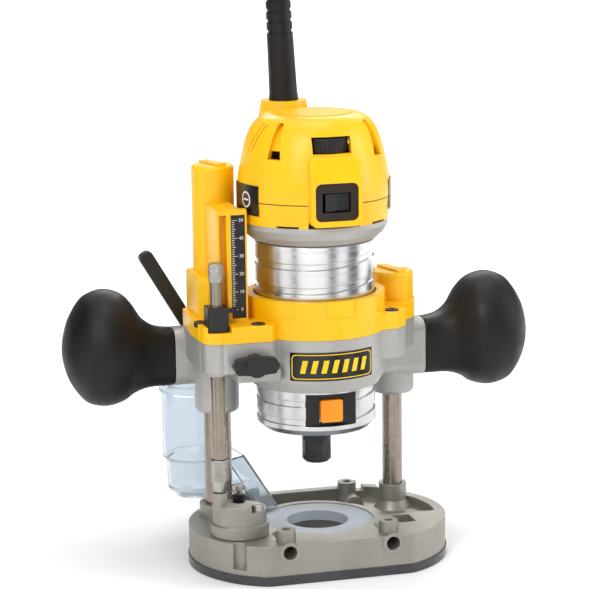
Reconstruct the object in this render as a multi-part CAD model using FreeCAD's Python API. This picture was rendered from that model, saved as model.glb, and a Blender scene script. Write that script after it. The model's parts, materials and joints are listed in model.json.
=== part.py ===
import FreeCAD, Part
import os
from math import cos, sin, pi, radians, sqrt

# Plunge router. Millimetres, +Z up, -Y is the front, +X the right.
# Origin: on the spindle axis, at the underside of the sub-base.

V = FreeCAD.Vector
UP, RIGHT, FRONT = V(0, 0, 1), V(1, 0, 0), V(0, -1, 0)

# ---- fits ----
slide_fit = 0.05          # radial clearance of a running fit
free_gap = 0.4            # between bodies that pass each other
hole_gap = 0.3            # a screw in its clearance hole

# ---- plunge motion ----
plunge_stroke = 55.0
stop_gap = 0.5            # left tower above its base boss at full plunge

# ---- base ----
base_arc_radius = 55.5
base_arc_centre = 20.5    # the two end arcs stand this far each side of the spindle
base_half_depth = 51.0
base_corner = 7.0
sub_base_thick = 5.0
sub_base_proud = 0.6
bit_opening_radius = 29.0
deck_height = 22.8        # top of the casting's deck
rear_rim_height = 25.0
base_wall = 6.0
pocket_floor = 17.5
deck_thick = 4.0
ring_seat_height = 18.0
ring_top = 21.0
ring_radius = 32.9
ring_hole_radius = 18.0
collar_wall = 3.8
base_screw_radius = 2.0
channel_x, channel_y = -57.5, -41.5      # upright half-round channel in the front left wall
channel_radius, channel_bottom = 4.3, 8.0

# ---- fence rods ----
fence_rod_radius = 4.0
fence_rod_x = 30.4
fence_rod_z = 18.6
fence_rod_depth = 22.0
fence_post_y = 42.0
fence_post_radius = 5.6
fence_post_top = 30.0
fence_thread_radius = 2.5

# ---- columns ----
column_x = 53.6
column_y = 23.4
column_left_radius = 8.0
column_left_bore = 5.6
column_right_radius = 5.9
column_boss_left = 11.5
column_boss_left_top = 30.2
column_boss_right = 8.2
column_boss_right_top = 32.8
column_right_top = 104.0

# ---- turret and depth stop ----
turret_x, turret_y = -51.5, -19.0
turret_radius = 16.7
turret_bottom = 23.2
turret_band_top = 30.0
turret_low_top = 38.0
turret_mid_top = 42.0
stop_radius = 12.2        # the three stops stand on this circle
stop_post_radius = 4.25
stop_post_top = 49.0
stop_screw_top = 48.4
stop_screw_low_top = 41.5
stop_head_radius = 3.4
stop_thread_radius = 2.0
turret_pivot_radius = 3.0
rod_x, rod_y = -63.5, -22.0
rod_radius = 4.15
rod_thin_radius = 3.4
rod_thin_bottom = 157.0
rod_knob_bottom = 171.0
rod_knob_height = 10.6
adjuster_radius = 5.65
adjuster_bottom = 56.0
adjuster_top = 69.0
adjuster_thread = 2.6
rod_tip_gap = 0.35
pointer_bottom, pointer_top = 143.6, 157.0
pointer_half_width = 5.9

# ---- carriage ----
motor_radius = 34.5
skirt_bottom = 105.7
skirt_radius = 37.0
skirt_top = 112.0
collar_radius = 40.1
seam_height = 136.7
flange_thick = 9.5
ring_cover_top = 158.5
cover_ring_bore = 35.5
cover_wall = 3.0
cover_overhang = 0.4
tower_left_radius = 13.0
tower_right_radius = 13.0
tower_right_bottom = 89.3
bush_wall = 2.0
bush_length = 14.0
cover_tower_left_radius = 12.3
cover_tower_left_top = 231.0
cover_tower_left_bore = 8.9
cover_tower_wide_top = 170.0
cover_tower_right_top = 163.0
rod_boss_radius = 7.4
rod_boss_bottom = 118.0
left_block_bottom = 119.5
clamp_block_bottom = 114.0
neck_half_tall, neck_half_deep = 16.8, 10.4
neck_corner = 7.0
neck_length = 30.0
neck_ends = {-1: 77.0, 1: 70.0}          # the joint with each knob; -1 is the left, 1 the right
handle_ys = {-1: 36.0, 1: 19.0}          # the knobs stand diagonally about the spindle
handle_z = 117.3
web_half_deep = 8.5
web_set_back = 6.0        # from the joint with the knob
web_drop = 14.0
web_inner_x = {-1: 47.0, 1: 20.0}
clamp_slit = 3.0
name_plate_angle, name_plate_half_angle = -90.0, 36.5
name_plate_z0, name_plate_z1 = 113.6, 129.8
name_plate_sunk = 0.4

# ---- knobs ----
knob_core_radius = 9.0
knob_core_reach = 40.0
knob_stud_radius = 5.0
knob_stud_depth = 7.5
knob_depth_share = 0.86   # depth of the bulb against its height

# ---- scale bracket ----
bracket_x0, bracket_x1 = -61.0, -43.5
bracket_front = -15.8
bracket_top = 210.0
scale_x0, scale_x1 = -52.8, -44.6
scale_z0, scale_z1 = 148.0, 207.0
scale_thick = 0.6

# ---- motor ----
barrel_bottom = 79.6
barrel_top = 189.0
barrel_wall = 3.0
barrel_foot_thick = 14.0
barrel_chamfer = 3.5
flange_top = 200.7
flange_radius = 42.4
cap_wall = 3.0
cap_top = 261.2
cap_seam = 214.0
spindle_radius = 5.0
bearing_lower_radius = 16.0
bearing_lower_height = 11.0
bearing_upper_radius = 10.0
bearing_upper_height = 8.0
rotor_radius = 17.0
stator_radius = 30.0
air_gap = 0.5
rotor_z0, rotor_z1 = 122.0, 160.0
fan_radius = 29.0
fan_z0, fan_z1 = 103.0, 113.0
commutator_radius = 11.0
commutator_z0, commutator_z1 = 168.0, 184.0
collet_bore = 4.0
collet_depth = 22.0
nut_radius = 8.4
nut_bottom = 57.0
guard_x, guard_y = -8.5, 31.5
guard_bottom = 250.0
guard_foot = 266.0
guard_top = 348.0
guard_lean = 0.045
guard_radius, guard_tip_radius = 8.4, 6.8
cord_hole_radius = 4.0
cord_hole_depth = 30.0

# ---- dust outlet ----
port_x, port_y = -55.6, 75.8
port_radius = 20.0
port_wall = 2.0
port_bottom, port_top = 21.0, 112.0
port_step = 46.0
duct_end_radius = motor_radius - 1.1     # keeps the duct's lip outside the barrel at full plunge
duct_end_angle = 134.5
duct_end_x = duct_end_radius * cos(radians(duct_end_angle))
duct_end_y = duct_end_radius * sin(radians(duct_end_angle))
duct_half_width = 7.5
duct_wall = 1.4


# ======== helpers ========

def cyl(x, y, z0, z1, r):
    return Part.makeCylinder(r, z1 - z0, V(x, y, z0))


def rod(start, direction, length, r):
    return Part.makeCylinder(r, length, start, direction)


def cone(x, y, z0, z1, r0, r1):
    return Part.makeCone(r0, r1, z1 - z0, V(x, y, z0))


def box(x0, x1, y0, y1, z0, z1):
    return Part.makeBox(x1 - x0, y1 - y0, z1 - z0, V(x0, y0, z0))


def fuse(*shapes):
    whole = shapes[0].fuse(list(shapes[1:])) if len(shapes) > 1 else shapes[0]
    return whole.removeSplitter()


def cut(shape, *tools):
    return shape.cut(list(tools)) if tools else shape


def prism(points, z0, z1):
    """A straight-sided block on an outline of (x, y) points."""
    ring = [V(x, y, z0) for x, y in points]
    return Part.Face(Part.makePolygon(ring + ring[:1])).extrude(V(0, 0, z1 - z0))


def turned(profile, x=0.0, y=0.0):
    """A solid of revolution about a vertical axis, from (radius, z) points."""
    ring = [V(x + r, y, z) for r, z in profile]
    return Part.Face(Part.makePolygon(ring + ring[:1])).revolve(V(x, y, 0), UP, 360)


def round_edges(shape, direction, radius, keep=lambda edge: True):
    """Rounds the straight edges that run along one direction."""
    chosen = []
    for edge in shape.Edges:
        if isinstance(edge.Curve, Part.Line) and keep(edge):
            if abs(edge.tangentAt(edge.FirstParameter).dot(direction)) > 0.999:
                chosen.append(edge)
    return shape.makeFillet(radius, chosen)


def round_box(x0, x1, y0, y1, z0, z1, radius, direction):
    return round_edges(box(x0, x1, y0, y1, z0, z1), direction, radius)


def hex_socket(x, y, z_top, across, depth):
    points = [(x + across / sqrt(3) * cos(k * pi / 3), y + across / sqrt(3) * sin(k * pi / 3))
              for k in range(6)]
    return prism(points, z_top - depth, z_top + 1)


def ring_sector(r0, r1, z0, z1, middle, half_angle):
    """Part of a ring about the spindle axis; angles in degrees from +X."""
    a = radians(middle - half_angle)
    points = [V(r * cos(a), r * sin(a), z) for r, z in ((r0, z0), (r1, z0), (r1, z1), (r0, z1))]
    return Part.Face(Part.makePolygon(points + points[:1])).revolve(V(0, 0, 0), UP, 2 * half_angle)


def mirrored(shape):
    return shape.mirror(V(0, 0, 0), RIGHT)


def save(name, *shapes):
    shape = shapes[0] if len(shapes) == 1 else Part.makeCompound(list(shapes))
    if len(shapes) == 1 and len(shape.Solids) == 1:
        shape = shape.Solids[0]
    shape.exportStep("parts/" + name + ".step")
    print(name, len(shape.Solids), "solid", shape.isValid(), round(shape.Volume / 1000, 2), "cm3")


# ======== base ========

def base_block(grow, z0, z1):
    """The base's outline, moved outwards by grow, as a block."""
    r = base_arc_radius + grow
    y = base_half_depth + grow
    x = base_arc_centre + sqrt(r * r - y * y)
    far = base_arc_centre + r
    edges = [Part.Arc(V(x, -y, z0), V(far, 0, z0), V(x, y, z0)).toShape(),
             Part.LineSegment(V(x, y, z0), V(-x, y, z0)).toShape(),
             Part.Arc(V(-x, y, z0), V(-far, 0, z0), V(-x, -y, z0)).toShape(),
             Part.LineSegment(V(-x, -y, z0), V(x, -y, z0)).toShape()]
    block = Part.Face(Part.Wire(edges)).extrude(V(0, 0, z1 - z0))
    return round_edges(block, UP, base_corner)


base_screws_at = [(40, -38), (-24, -43.5), (62, 8), (-64, 8), (0, 44)]
fence_rods_at = [(side, end) for side in (-1, 1) for end in (-1, 1)]


def make_sub_base():
    plate = base_block(sub_base_proud, 0, sub_base_thick)
    holes = [cyl(0, 0, -1, sub_base_thick + 1, bit_opening_radius)]
    for x, y in base_screws_at:
        holes.append(cyl(x, y, -1, sub_base_thick + 1, base_screw_radius + hole_gap))
        holes.append(cone(x, y, 0, 2.6, base_screw_radius + 2.9, base_screw_radius + 0.3))
    return cut(plate, *holes)


def make_base_screws():
    screws = []
    for x, y in base_screws_at:
        head = cone(x, y, 0.4, 2.6, base_screw_radius + 2.2, base_screw_radius)
        shank = cyl(x, y, 2.6, sub_base_thick + 8, base_screw_radius)
        slot = box(x - 0.5, x + 0.5, y - 3, y + 3, 0, 1.2)
        screws.append(cut(fuse(head, shank), slot))
    return screws


def fence_boss(side, end):
    """One rod socket's boss: a tube lying along Y with the clamp post above it."""
    x = side * fence_rod_x
    y_face = end * base_half_depth
    length = fence_rod_depth + 3
    sleeve = rod(V(x, y_face + end * 0.8, fence_rod_z), V(0, -end, 0), length + 0.8, fence_rod_radius + 2)
    post = cyl(x, end * fence_post_y, fence_rod_z, fence_post_top, fence_post_radius)
    block = box(x - 6, x + 6, min(y_face, y_face - end * length), max(y_face, y_face - end * length),
                sub_base_thick, fence_rod_z)
    return fuse(sleeve, post, block)


def make_base_casting():
    underside = pocket_floor - deck_thick
    body = base_block(0, sub_base_thick, deck_height)
    rear_rim = base_block(0, deck_height - 1, rear_rim_height)
    rear_rim = cut(rear_rim, base_block(-base_wall, 0, 60), box(-90, 90, -60, 26, 0, 60),
                   box(-90, -44, -60, 60, 0, 60), box(50, 90, -60, 60, 0, 60))
    pocket = base_block(-base_wall, pocket_floor, 60)
    pocket = pocket.common(box(-34, 90, -9, 60, 0, 60))
    side_pocket = box(42, 52, -27, -12, pocket_floor, 60)
    collar = cyl(0, 0, sub_base_thick, ring_top + 0.6, ring_radius + collar_wall)
    hollow = base_block(-base_wall + 1, 0, underside)
    keep = [cyl(0, 0, 0, underside, ring_radius + collar_wall)]
    keep += [cyl(x, y, 0, underside, 5) for x, y in base_screws_at]
    keep += [cyl(-column_x, column_y, 0, underside, column_boss_left),
             cyl(column_x, column_y, 0, underside, column_boss_right + 1),
             cyl(turret_x, turret_y, 0, underside, 7)]
    keep += [box(side * fence_rod_x - 6, side * fence_rod_x + 6,
                 min(end * 25, end * 60), max(end * 25, end * 60), 0, underside)
             for side, end in fence_rods_at]
    shell = fuse(cut(body, pocket, side_pocket), collar, rear_rim)
    shell = cut(shell, cut(hollow, *keep))
    bosses = [fence_boss(side, end) for side, end in fence_rods_at]
    bosses += [cyl(-column_x, column_y, sub_base_thick, column_boss_left_top, column_boss_left),
               cyl(column_x, column_y, sub_base_thick, column_boss_right_top, column_boss_right),
               cone(column_x, column_y, pocket_floor, pocket_floor + 5, column_boss_right + 3, column_boss_right),
               cyl(turret_x, turret_y, sub_base_thick, turret_bottom - 0.2, 9),
               cyl(turret_x, turret_y, sub_base_thick, deck_height - 0.6, turret_radius + 1.5)
               .common(base_block(0, 0, 60))]
    shell = fuse(shell, *bosses)
    holes = [cyl(0, 0, 0, 60, bit_opening_radius + 1),
             cyl(0, 0, ring_seat_height, 60, ring_radius + 0.1),
             cyl(-column_x, column_y, 9, 60, column_left_radius),
             cyl(column_x, column_y, 9, 60, column_right_radius),
             cyl(turret_x, turret_y, 8, 60, turret_pivot_radius),
             cyl(channel_x, channel_y, channel_bottom, 60, channel_radius)]
    for x, y in base_screws_at:
        holes.append(cyl(x, y, 0, sub_base_thick + 8, base_screw_radius))
    for side, end in fence_rods_at:
        x = side * fence_rod_x
        holes.append(rod(V(x, end * 60, fence_rod_z), V(0, -end, 0),
                         60 - base_half_depth + fence_rod_depth, fence_rod_radius))
        holes.append(cyl(x, end * fence_post_y, fence_rod_z, 60, fence_thread_radius))
    notch = box(34, 42, base_half_depth - base_wall - 1, base_half_depth + 1, rear_rim_height - 2.5, 60)
    # set screws that grip the two columns come in from the ends
    holes.append(rod(V(-90, column_y, 14), RIGHT, 90 - column_x - column_left_radius + 0.1, 2.5))
    holes.append(rod(V(90, column_y, 14), V(-1, 0, 0), 90 - column_x - column_right_radius + 0.1, 2.5))
    return cut(shell, notch, *holes)


def make_column_set_screws():
    reach = 9.0
    screws = []
    for side, r in ((-1, column_left_radius), (1, column_right_radius)):
        start = V(side * (column_x + r), column_y, 14)
        screw = rod(start, V(side, 0, 0), reach, 2.5)
        screws.append(cut(screw, rod(start + V(side * (reach - 3), 0, 0), V(side, 0, 0), 4, 1.2)))
    return screws


def make_template_ring():
    flange = cyl(0, 0, ring_seat_height, ring_top, ring_radius)
    spigot = cyl(0, 0, ring_seat_height - 3, ring_seat_height, bit_opening_radius + 0.9)
    return cut(fuse(flange, spigot), cyl(0, 0, 0, 60, ring_hole_radius))


def column_left_height():
    return cover_tower_left_top - cover_wall - plunge_stroke - 5


def make_column_left():
    top = column_left_height()
    column = cut(cyl(-column_x, column_y, 9, top, column_left_radius),
                 cyl(-column_x, column_y, 12, top + 1, column_left_bore))
    return column


def make_column_right():
    return cyl(column_x, column_y, 9, column_right_top, column_right_radius)


def make_return_spring():
    wire_radius, coil_radius, turns = 0.8, column_left_bore - 1.2, 26
    z0, z1 = 12 + wire_radius + 0.1, cover_tower_left_top - cover_wall - wire_radius - 0.1
    helix = Part.makeHelix((z1 - z0) / turns, z1 - z0, coil_radius)
    helix.translate(V(-column_x, column_y, z0))
    circle = Part.Circle(V(coil_radius - column_x, column_y, z0), V(0, 1, 0.3), wire_radius)
    section = Part.Wire([circle.toShape()])
    return Part.Wire(helix.Edges).makePipeShell([section], True, True)


# ======== turret ========

def stop_place(angle):
    a = radians(angle)
    return turret_x + stop_radius * cos(a), turret_y + stop_radius * sin(a)


rod_stop_angle = 194.0    # the tall post stands under the depth rod
screw_stop_angle = 78.0
low_stop_angle = 314.0


def make_turret():
    x, y = turret_x, turret_y
    band = cyl(x, y, turret_bottom, turret_band_top, turret_radius)
    ribs = []
    count = 60
    for k in range(count):
        a = 2 * pi * k / count
        groove = cyl(x + (turret_radius + 0.25) * cos(a), y + (turret_radius + 0.25) * sin(a),
                     turret_bottom + 1, turret_band_top - 1, 0.55)
        ribs.append(groove)
    band = cut(band, *ribs)
    body = cyl(x, y, turret_band_top, turret_low_top, turret_radius - 1.3)
    mid = cyl(x, y, turret_low_top, turret_mid_top, turret_radius - 1.3)
    low_x, low_y = stop_place(low_stop_angle)
    screw_x, screw_y = stop_place(screw_stop_angle)
    post_x, post_y = stop_place(rod_stop_angle)
    mid = cut(mid, box(x + 3.5, x + 20, y - 20, y + 20, 0, 60), box(x - 9, x + 20, y + 4.5, y + 20, 0, 60))
    post = cyl(post_x, post_y, turret_low_top, stop_post_top, stop_post_radius)
    whole = fuse(band, body, mid, post)
    return cut(whole, cyl(x, y, 0, 60, turret_pivot_radius + slide_fit),
               cyl(x, y, turret_mid_top - 7, 60, turret_pivot_radius + 2.6),
               cyl(screw_x, screw_y, turret_band_top - 3, 60, stop_thread_radius),
               cyl(low_x, low_y, turret_band_top - 3, 60, stop_thread_radius))


def make_turret_screw():
    x, y = turret_x, turret_y
    head_z = turret_mid_top - 7 + 0.2
    screw = fuse(cyl(x, y, 9, head_z, turret_pivot_radius),
                 cyl(x, y, head_z, head_z + 3, turret_pivot_radius + 2.2))
    return cut(screw, hex_socket(x, y, head_z + 3, 3, 2))


def make_stop_screw(angle, top):
    x, y = stop_place(angle)
    head = cyl(x, y, top - 3.4, top, stop_head_radius)
    shank = cyl(x, y, turret_band_top - 2, top - 3.4, stop_thread_radius)
    slot = box(x - stop_head_radius, x + stop_head_radius, y - 0.5, y + 0.5, top - 1, top + 1)
    return cut(fuse(head, shank), slot)


def make_stop_nut(angle, z0, z1):
    x, y = stop_place(angle)
    return cut(hex_socket(x, y, z1 - 1, 6.6, z1 - 1 - z0), cyl(x, y, 0, 60, stop_thread_radius))


# ======== depth rod ========

def make_depth_rod():
    thick = cyl(rod_x, rod_y, adjuster_top, rod_thin_bottom, rod_radius)
    thin = cyl(rod_x, rod_y, rod_thin_bottom, rod_knob_bottom + 6, rod_thin_radius)
    stud = cyl(rod_x, rod_y, adjuster_bottom, adjuster_top, adjuster_thread)
    return fuse(thick, thin, stud)


def make_fine_adjuster():
    tip_bottom = stop_post_top + rod_tip_gap
    sleeve = cyl(rod_x, rod_y, adjuster_bottom, adjuster_top - 0.3, adjuster_radius)
    tip = cyl(rod_x, rod_y, tip_bottom, adjuster_bottom, rod_radius - 0.15)
    grooves = []
    count = 28
    for k in range(count):
        a = 2 * pi * k / count
        grooves.append(cyl(rod_x + (adjuster_radius + 0.2) * cos(a), rod_y + (adjuster_radius + 0.2) * sin(a),
                           adjuster_bottom + 1, adjuster_top - 1.3, 0.45))
    whole = cut(fuse(sleeve, tip), *grooves)
    return cut(whole, cyl(rod_x, rod_y, adjuster_bottom - 0.3, 200, adjuster_thread + slide_fit))


def make_rod_top_knob():
    knob = cyl(rod_x, rod_y, rod_knob_bottom, rod_knob_bottom + rod_knob_height, rod_radius + 0.1)
    return cut(knob, cyl(rod_x, rod_y, rod_knob_bottom - 1, rod_knob_bottom + 6, rod_thin_radius))


def make_zero_pointer():
    back = bracket_front - 0.6
    block = box(rod_x - pointer_half_width, rod_x + pointer_half_width, rod_y - 7, back,
                pointer_bottom, pointer_top)
    block = round_edges(block, UP, 2.0, lambda edge: edge.Vertexes[0].Y < rod_y)
    finger = box(rod_x + pointer_half_width - 1, scale_x0 + 2, back - 2.2, back,
                 pointer_top - 5, pointer_top - 2.6)
    hole = cyl(rod_x, rod_y, 100, 200, rod_radius + slide_fit)
    return cut(fuse(block, finger), hole)


# ======== carriage ========

ring_pad_count, ring_pad_angle = 7, -134.7    # shallow pads sunk into the ring's rim
cover_screws_at = [(-70.5, -12.0), (-40.5, -26.5), (42.2, -13.5), (62.5, 33.0), (-40.0, 36.0)]
cover_screw_radius = 2.0
cover_head_radius = 3.75
cover_screw_depth = 8.4


def plan_block(grow, z0, z1):
    """The plan of the carriage's body at the seam with its cover, moved outwards by grow."""
    front = -31.5 - grow
    left = [(-71.0 - grow, 30), (-73.0 - grow, 2), (-72.5 - grow, -16), (-69.0 - grow, -26 - grow),
            (-60.0, front), (-34.0, front), (-20, -20), (-20, 30), (-40, 40 + grow), (-60, 40 + grow)]
    right = [(30, -22 - grow), (43, -20.5 - grow), (50 + grow, -14), (52 + grow, -2), (62 + grow, 8),
             (66.6 + grow, 20), (67.6 + grow, 36), (60, 40 + grow), (30, 34), (20, 0)]
    rod_lobe = cyl(rod_x, rod_y, z0, z1, rod_boss_radius + 1.2 + grow)
    lug = cyl(cover_screws_at[2][0], cover_screws_at[2][1], z0, z1, 5.0 + grow)
    return fuse(prism(left, z0, z1), prism(right, z0, z1), cyl(0, 0, z0, z1, collar_radius + grow),
                rod_lobe, lug)


def make_neck(side):
    """The arm that carries one knob, with a flat face at the joint."""
    x0 = side * neck_ends[side]
    x1 = side * (neck_ends[side] - neck_length)
    y = handle_ys[side]
    return round_box(min(x0, x1), max(x0, x1), y - neck_half_deep, y + neck_half_deep,
                     handle_z - neck_half_tall, handle_z + neck_half_tall, neck_corner, RIGHT)


def make_web(side):
    """The rib between one knob's arm and the body above it."""
    x0, x1 = sorted((side * web_inner_x[side], side * (neck_ends[side] - web_set_back)))
    return box(x0, x1, handle_ys[side] - web_half_deep, handle_ys[side] + web_half_deep,
               handle_z - web_drop, left_block_bottom + 1)


def make_carriage_casting():
    upper = plan_block(0, left_block_bottom, seam_height)
    collar = fuse(cyl(0, 0, skirt_top, seam_height, collar_radius),
                  cone(0, 0, skirt_bottom, skirt_top, skirt_radius, collar_radius))
    clamp_block = box(-54, -29, -31.5, -8, clamp_block_bottom, left_block_bottom + 1)
    necks = [make_neck(side) for side in (-1, 1)]
    webs = [make_web(side) for side in (-1, 1)]
    left_bottom = column_boss_left_top + stop_gap + plunge_stroke
    tower_left = cyl(-column_x, column_y, left_bottom, seam_height, tower_left_radius)
    tower_left = tower_left.makeFillet(3.0, [e for e in tower_left.Edges
                                             if e.BoundBox.ZMax < left_bottom + 0.1])
    tower_right = cyl(column_x, column_y, tower_right_bottom, seam_height, tower_right_radius)
    tower_right = tower_right.makeFillet(3.0, [e for e in tower_right.Edges
                                               if e.BoundBox.ZMax < tower_right_bottom + 0.1])
    rod_boss = cyl(rod_x, rod_y, rod_boss_bottom, seam_height, rod_boss_radius)
    ears = box(-14, 14, 36, 47, 110, 130)
    body = fuse(upper, collar, clamp_block, *necks, *webs, tower_left, tower_right, rod_boss, ears)
    holes = [cyl(0, 0, 50, 200, motor_radius + slide_fit + 0.03),
             cyl(-column_x, column_y, 50, 200, column_left_radius + bush_wall),
             cyl(column_x, column_y, 50, 200, column_right_radius + bush_wall),
             cyl(rod_x, rod_y, 50, 200, rod_radius + slide_fit),
             cyl(rod_x, rod_y, 50, adjuster_top + plunge_stroke + stop_gap, adjuster_radius + free_gap),
             box(-clamp_slit / 2, clamp_slit / 2, 30, 60, 100, 200),
             rod(V(rod_lock_x, -60, rod_lock_z), V(0, 1, 0), 60 - 12, rod_lock_radius),
             rod(V(-40, ear_bolt_y, ear_bolt_z), RIGHT, 80, 3)]
    holes += [cyl(x, y, seam_height - cover_screw_depth, 200, cover_screw_radius) for x, y in cover_screws_at]
    holes += [rod(V(side * neck_ends[side], handle_ys[side], handle_z), V(-side, 0, 0), knob_stud_depth,
                  knob_stud_radius) for side in (-1, 1)]
    plate = ring_sector(collar_radius - name_plate_sunk, collar_radius + 3, name_plate_z0, name_plate_z1,
                        name_plate_angle, name_plate_half_angle)
    lever_bolt = rod(V(lever_x, 60, lever_z), V(0, -1, 0), 60 - 34, 3)
    return cut(body, *holes, plate, lever_bolt)


def make_bush(x, r, z_places):
    tubes = []
    for z in z_places:
        tubes.append(cut(cyl(x, column_y, z, z + bush_length, r + bush_wall),
                         cyl(x, column_y, 0, 300, r + slide_fit)))
    return tubes


def cover_tower(x, y, r, z0, z1, ridge_angle):
    """A round tower with a softened rim and a short ridge on its top."""
    tower = cyl(x, y, z0, z1, r)
    tower = tower.makeFillet(2.5, [e for e in tower.Edges if e.BoundBox.ZMin > z1 - 0.1])
    ridge = box(-r + 1.5, r - 1.5, -3, 3, z1 - 1, z1 + 1.3)
    ridge.rotate(V(0, 0, 0), UP, ridge_angle)
    ridge.translate(V(x, y, 0))
    return fuse(tower, ridge)


def make_top_cover():
    flange_top_z = seam_height + flange_thick
    flange = plan_block(cover_overhang, seam_height, flange_top_z)
    ring = cyl(0, 0, seam_height, ring_cover_top, collar_radius + cover_overhang)
    tower_left = cover_tower(-column_x, column_y, cover_tower_left_radius, flange_top_z - 1,
                             cover_tower_left_top, -75)
    wide = prism([(-column_x - 15.1, column_y + 8), (-column_x - 15.6, column_y - 24),
                  (-column_x - 12, bracket_front + 4), (-column_x + 6, bracket_front + 4),
                  (-column_x + 9, column_y), (-column_x + 4, column_y + 11)],
                 flange_top_z - 1, cover_tower_wide_top)
    wide = wide.makeFillet(2.0, [e for e in wide.Edges if e.BoundBox.ZMin > cover_tower_wide_top - 0.1])
    bracket = fuse(box(bracket_x0, bracket_x1, bracket_front, bracket_front + 5.2, flange_top_z - 1, bracket_top),
                   box(bracket_x0, bracket_x1 - 3.2, bracket_front, column_y, flange_top_z - 1, bracket_top))
    tower_right = cover_tower(column_x, column_y, tower_right_radius, flange_top_z - 1,
                              cover_tower_right_top, -75)
    link = box(30, column_x, column_y - 8, column_y + 8, flange_top_z - 1, cover_tower_right_top - 2)
    body = fuse(flange, ring, tower_left, wide, bracket, tower_right, link)
    holes = [cyl(0, 0, 100, 300, cover_ring_bore),
             cyl(-column_x, column_y, 100, cover_tower_left_top - cover_wall, cover_tower_left_bore),
             cyl(column_x, column_y, 100, cover_tower_right_top - cover_wall, column_right_radius + 1.5),
             cyl(rod_x, rod_y, 100, 300, rod_radius + 0.35),
             box(rod_x - pointer_half_width - 0.5, rod_x + pointer_half_width + 0.5, -60,
                 bracket_front - 0.01, pointer_bottom - 0.6, 300),
             box(bracket_x0 + 1.5, scale_x0 - 2.5, bracket_front - 1, bracket_front + 6,
                 flange_top_z - 1, bracket_top - 3),
             box(scale_x0, scale_x1, bracket_front - 1, bracket_front + scale_thick, scale_z0, scale_z1),
             box(-26, 26, 33, 60, flange_top_z, 300)]
    for x, y in cover_screws_at:
        holes.append(cyl(x, y, 100, 200, cover_screw_radius + hole_gap))
        holes.append(cyl(x, y, flange_top_z - 2.2, 300, cover_head_radius + 0.5)
                     .cut(cyl(-column_x, column_y, 0, 400, cover_tower_left_radius)))
    for k in range(ring_pad_count):
        angle = ring_pad_angle + k * 360 / ring_pad_count
        holes.append(ring_sector(collar_radius + cover_overhang - 0.45, collar_radius + 3,
                                 ring_cover_top - 9.5, ring_cover_top + 1, angle, 12.4))
    return cut(body, *holes)


def make_cover_screws():
    screws = []
    seat = seam_height + flange_thick - 2.2
    for x, y in cover_screws_at:
        screw = fuse(cyl(x, y, seam_height - cover_screw_depth + 0.3, seat, cover_screw_radius),
                     cyl(x, y, seat, seat + 2.8, cover_head_radius))
        screws.append(cut(screw, hex_socket(x, y, seat + 2.8, 3, 1.6)))
    return screws


def make_scale_plate():
    return box(scale_x0, scale_x1, bracket_front, bracket_front + scale_thick, scale_z0, scale_z1)


def make_name_plate():
    return ring_sector(collar_radius - name_plate_sunk, collar_radius + 0.3, name_plate_z0, name_plate_z1,
                       name_plate_angle, name_plate_half_angle)


# ---- rod lock knob ----
rod_lock_x, rod_lock_z = -45.0, 125.0
rod_lock_radius = 3.0
rod_lock_face = -34.0


def make_rod_lock_knob():
    x, z = rod_lock_x, rod_lock_z
    stud = rod(V(x, -14, z), FRONT, -rod_lock_face - 14 + 1, rod_lock_radius - slide_fit)
    hub = rod(V(x, rod_lock_face, z), FRONT, 7.5, 6.3)
    wings = []
    for side in (-1, 1):
        points = [V(x, rod_lock_face - 1, z - 5.5), V(x + side * 11, rod_lock_face - 1, z - 4.5),
                  V(x + side * 13.5, rod_lock_face - 1, z), V(x + side * 11, rod_lock_face - 1, z + 4.0),
                  V(x, rod_lock_face - 1, z + 5.5)]
        wings.append(Part.Face(Part.makePolygon(points + points[:1])).extrude(V(0, -5.5, 0)))
    return fuse(stud, hub, *wings)


# ---- plunge lock lever ----
lever_x, lever_z = -57.6, 121.5
lever_y0, lever_y1 = 46.9, 52.9
lever_reach = 64.0
lever_lean = 30.4


def make_plunge_lock_lever():
    hub = rod(V(lever_x, lever_y0, lever_z), V(0, 1, 0), lever_y1 - lever_y0, 9.0)
    arm = box(-4.2, 4.2, lever_y0, lever_y1, 0, lever_reach)
    arm = round_edges(arm, V(0, 1, 0), 3.0, lambda edge: edge.Vertexes[0].Z > 1)
    arm.rotate(V(0, 0, 0), V(0, 1, 0), -lever_lean)
    arm.translate(V(lever_x, 0, lever_z))
    return cut(fuse(hub, arm), rod(V(lever_x, 0, lever_z), V(0, 1, 0), 80, 3 + slide_fit),
               rod(V(lever_x, lever_y1 - 2.4, lever_z), V(0, 1, 0), 10, 5.4))


def make_lever_bolt():
    shank = rod(V(lever_x, 34.5, lever_z), V(0, 1, 0), lever_y1 - 2.3 - 34.5, 3)
    head = rod(V(lever_x, lever_y1 - 2.3, lever_z), V(0, 1, 0), 2.3, 5)
    return fuse(shank, head)


# ---- motor clamp ----
ear_bolt_y, ear_bolt_z = 42.5, 120.0
clamp_pivot_x = 19.0


def make_clamp_bolt():
    shank = rod(V(-16, ear_bolt_y, ear_bolt_z), RIGHT, clamp_pivot_x + 16, 3)
    nut = rod(V(-18, ear_bolt_y, ear_bolt_z), RIGHT, 4 - 0.1, 5)
    eye = cyl(clamp_pivot_x, ear_bolt_y, ear_bolt_z - 5, ear_bolt_z + 5, 4.2)
    pin = cyl(clamp_pivot_x, ear_bolt_y, ear_bolt_z - 9, ear_bolt_z + 9, 2.0)
    return fuse(shank, nut, eye, pin)


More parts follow.
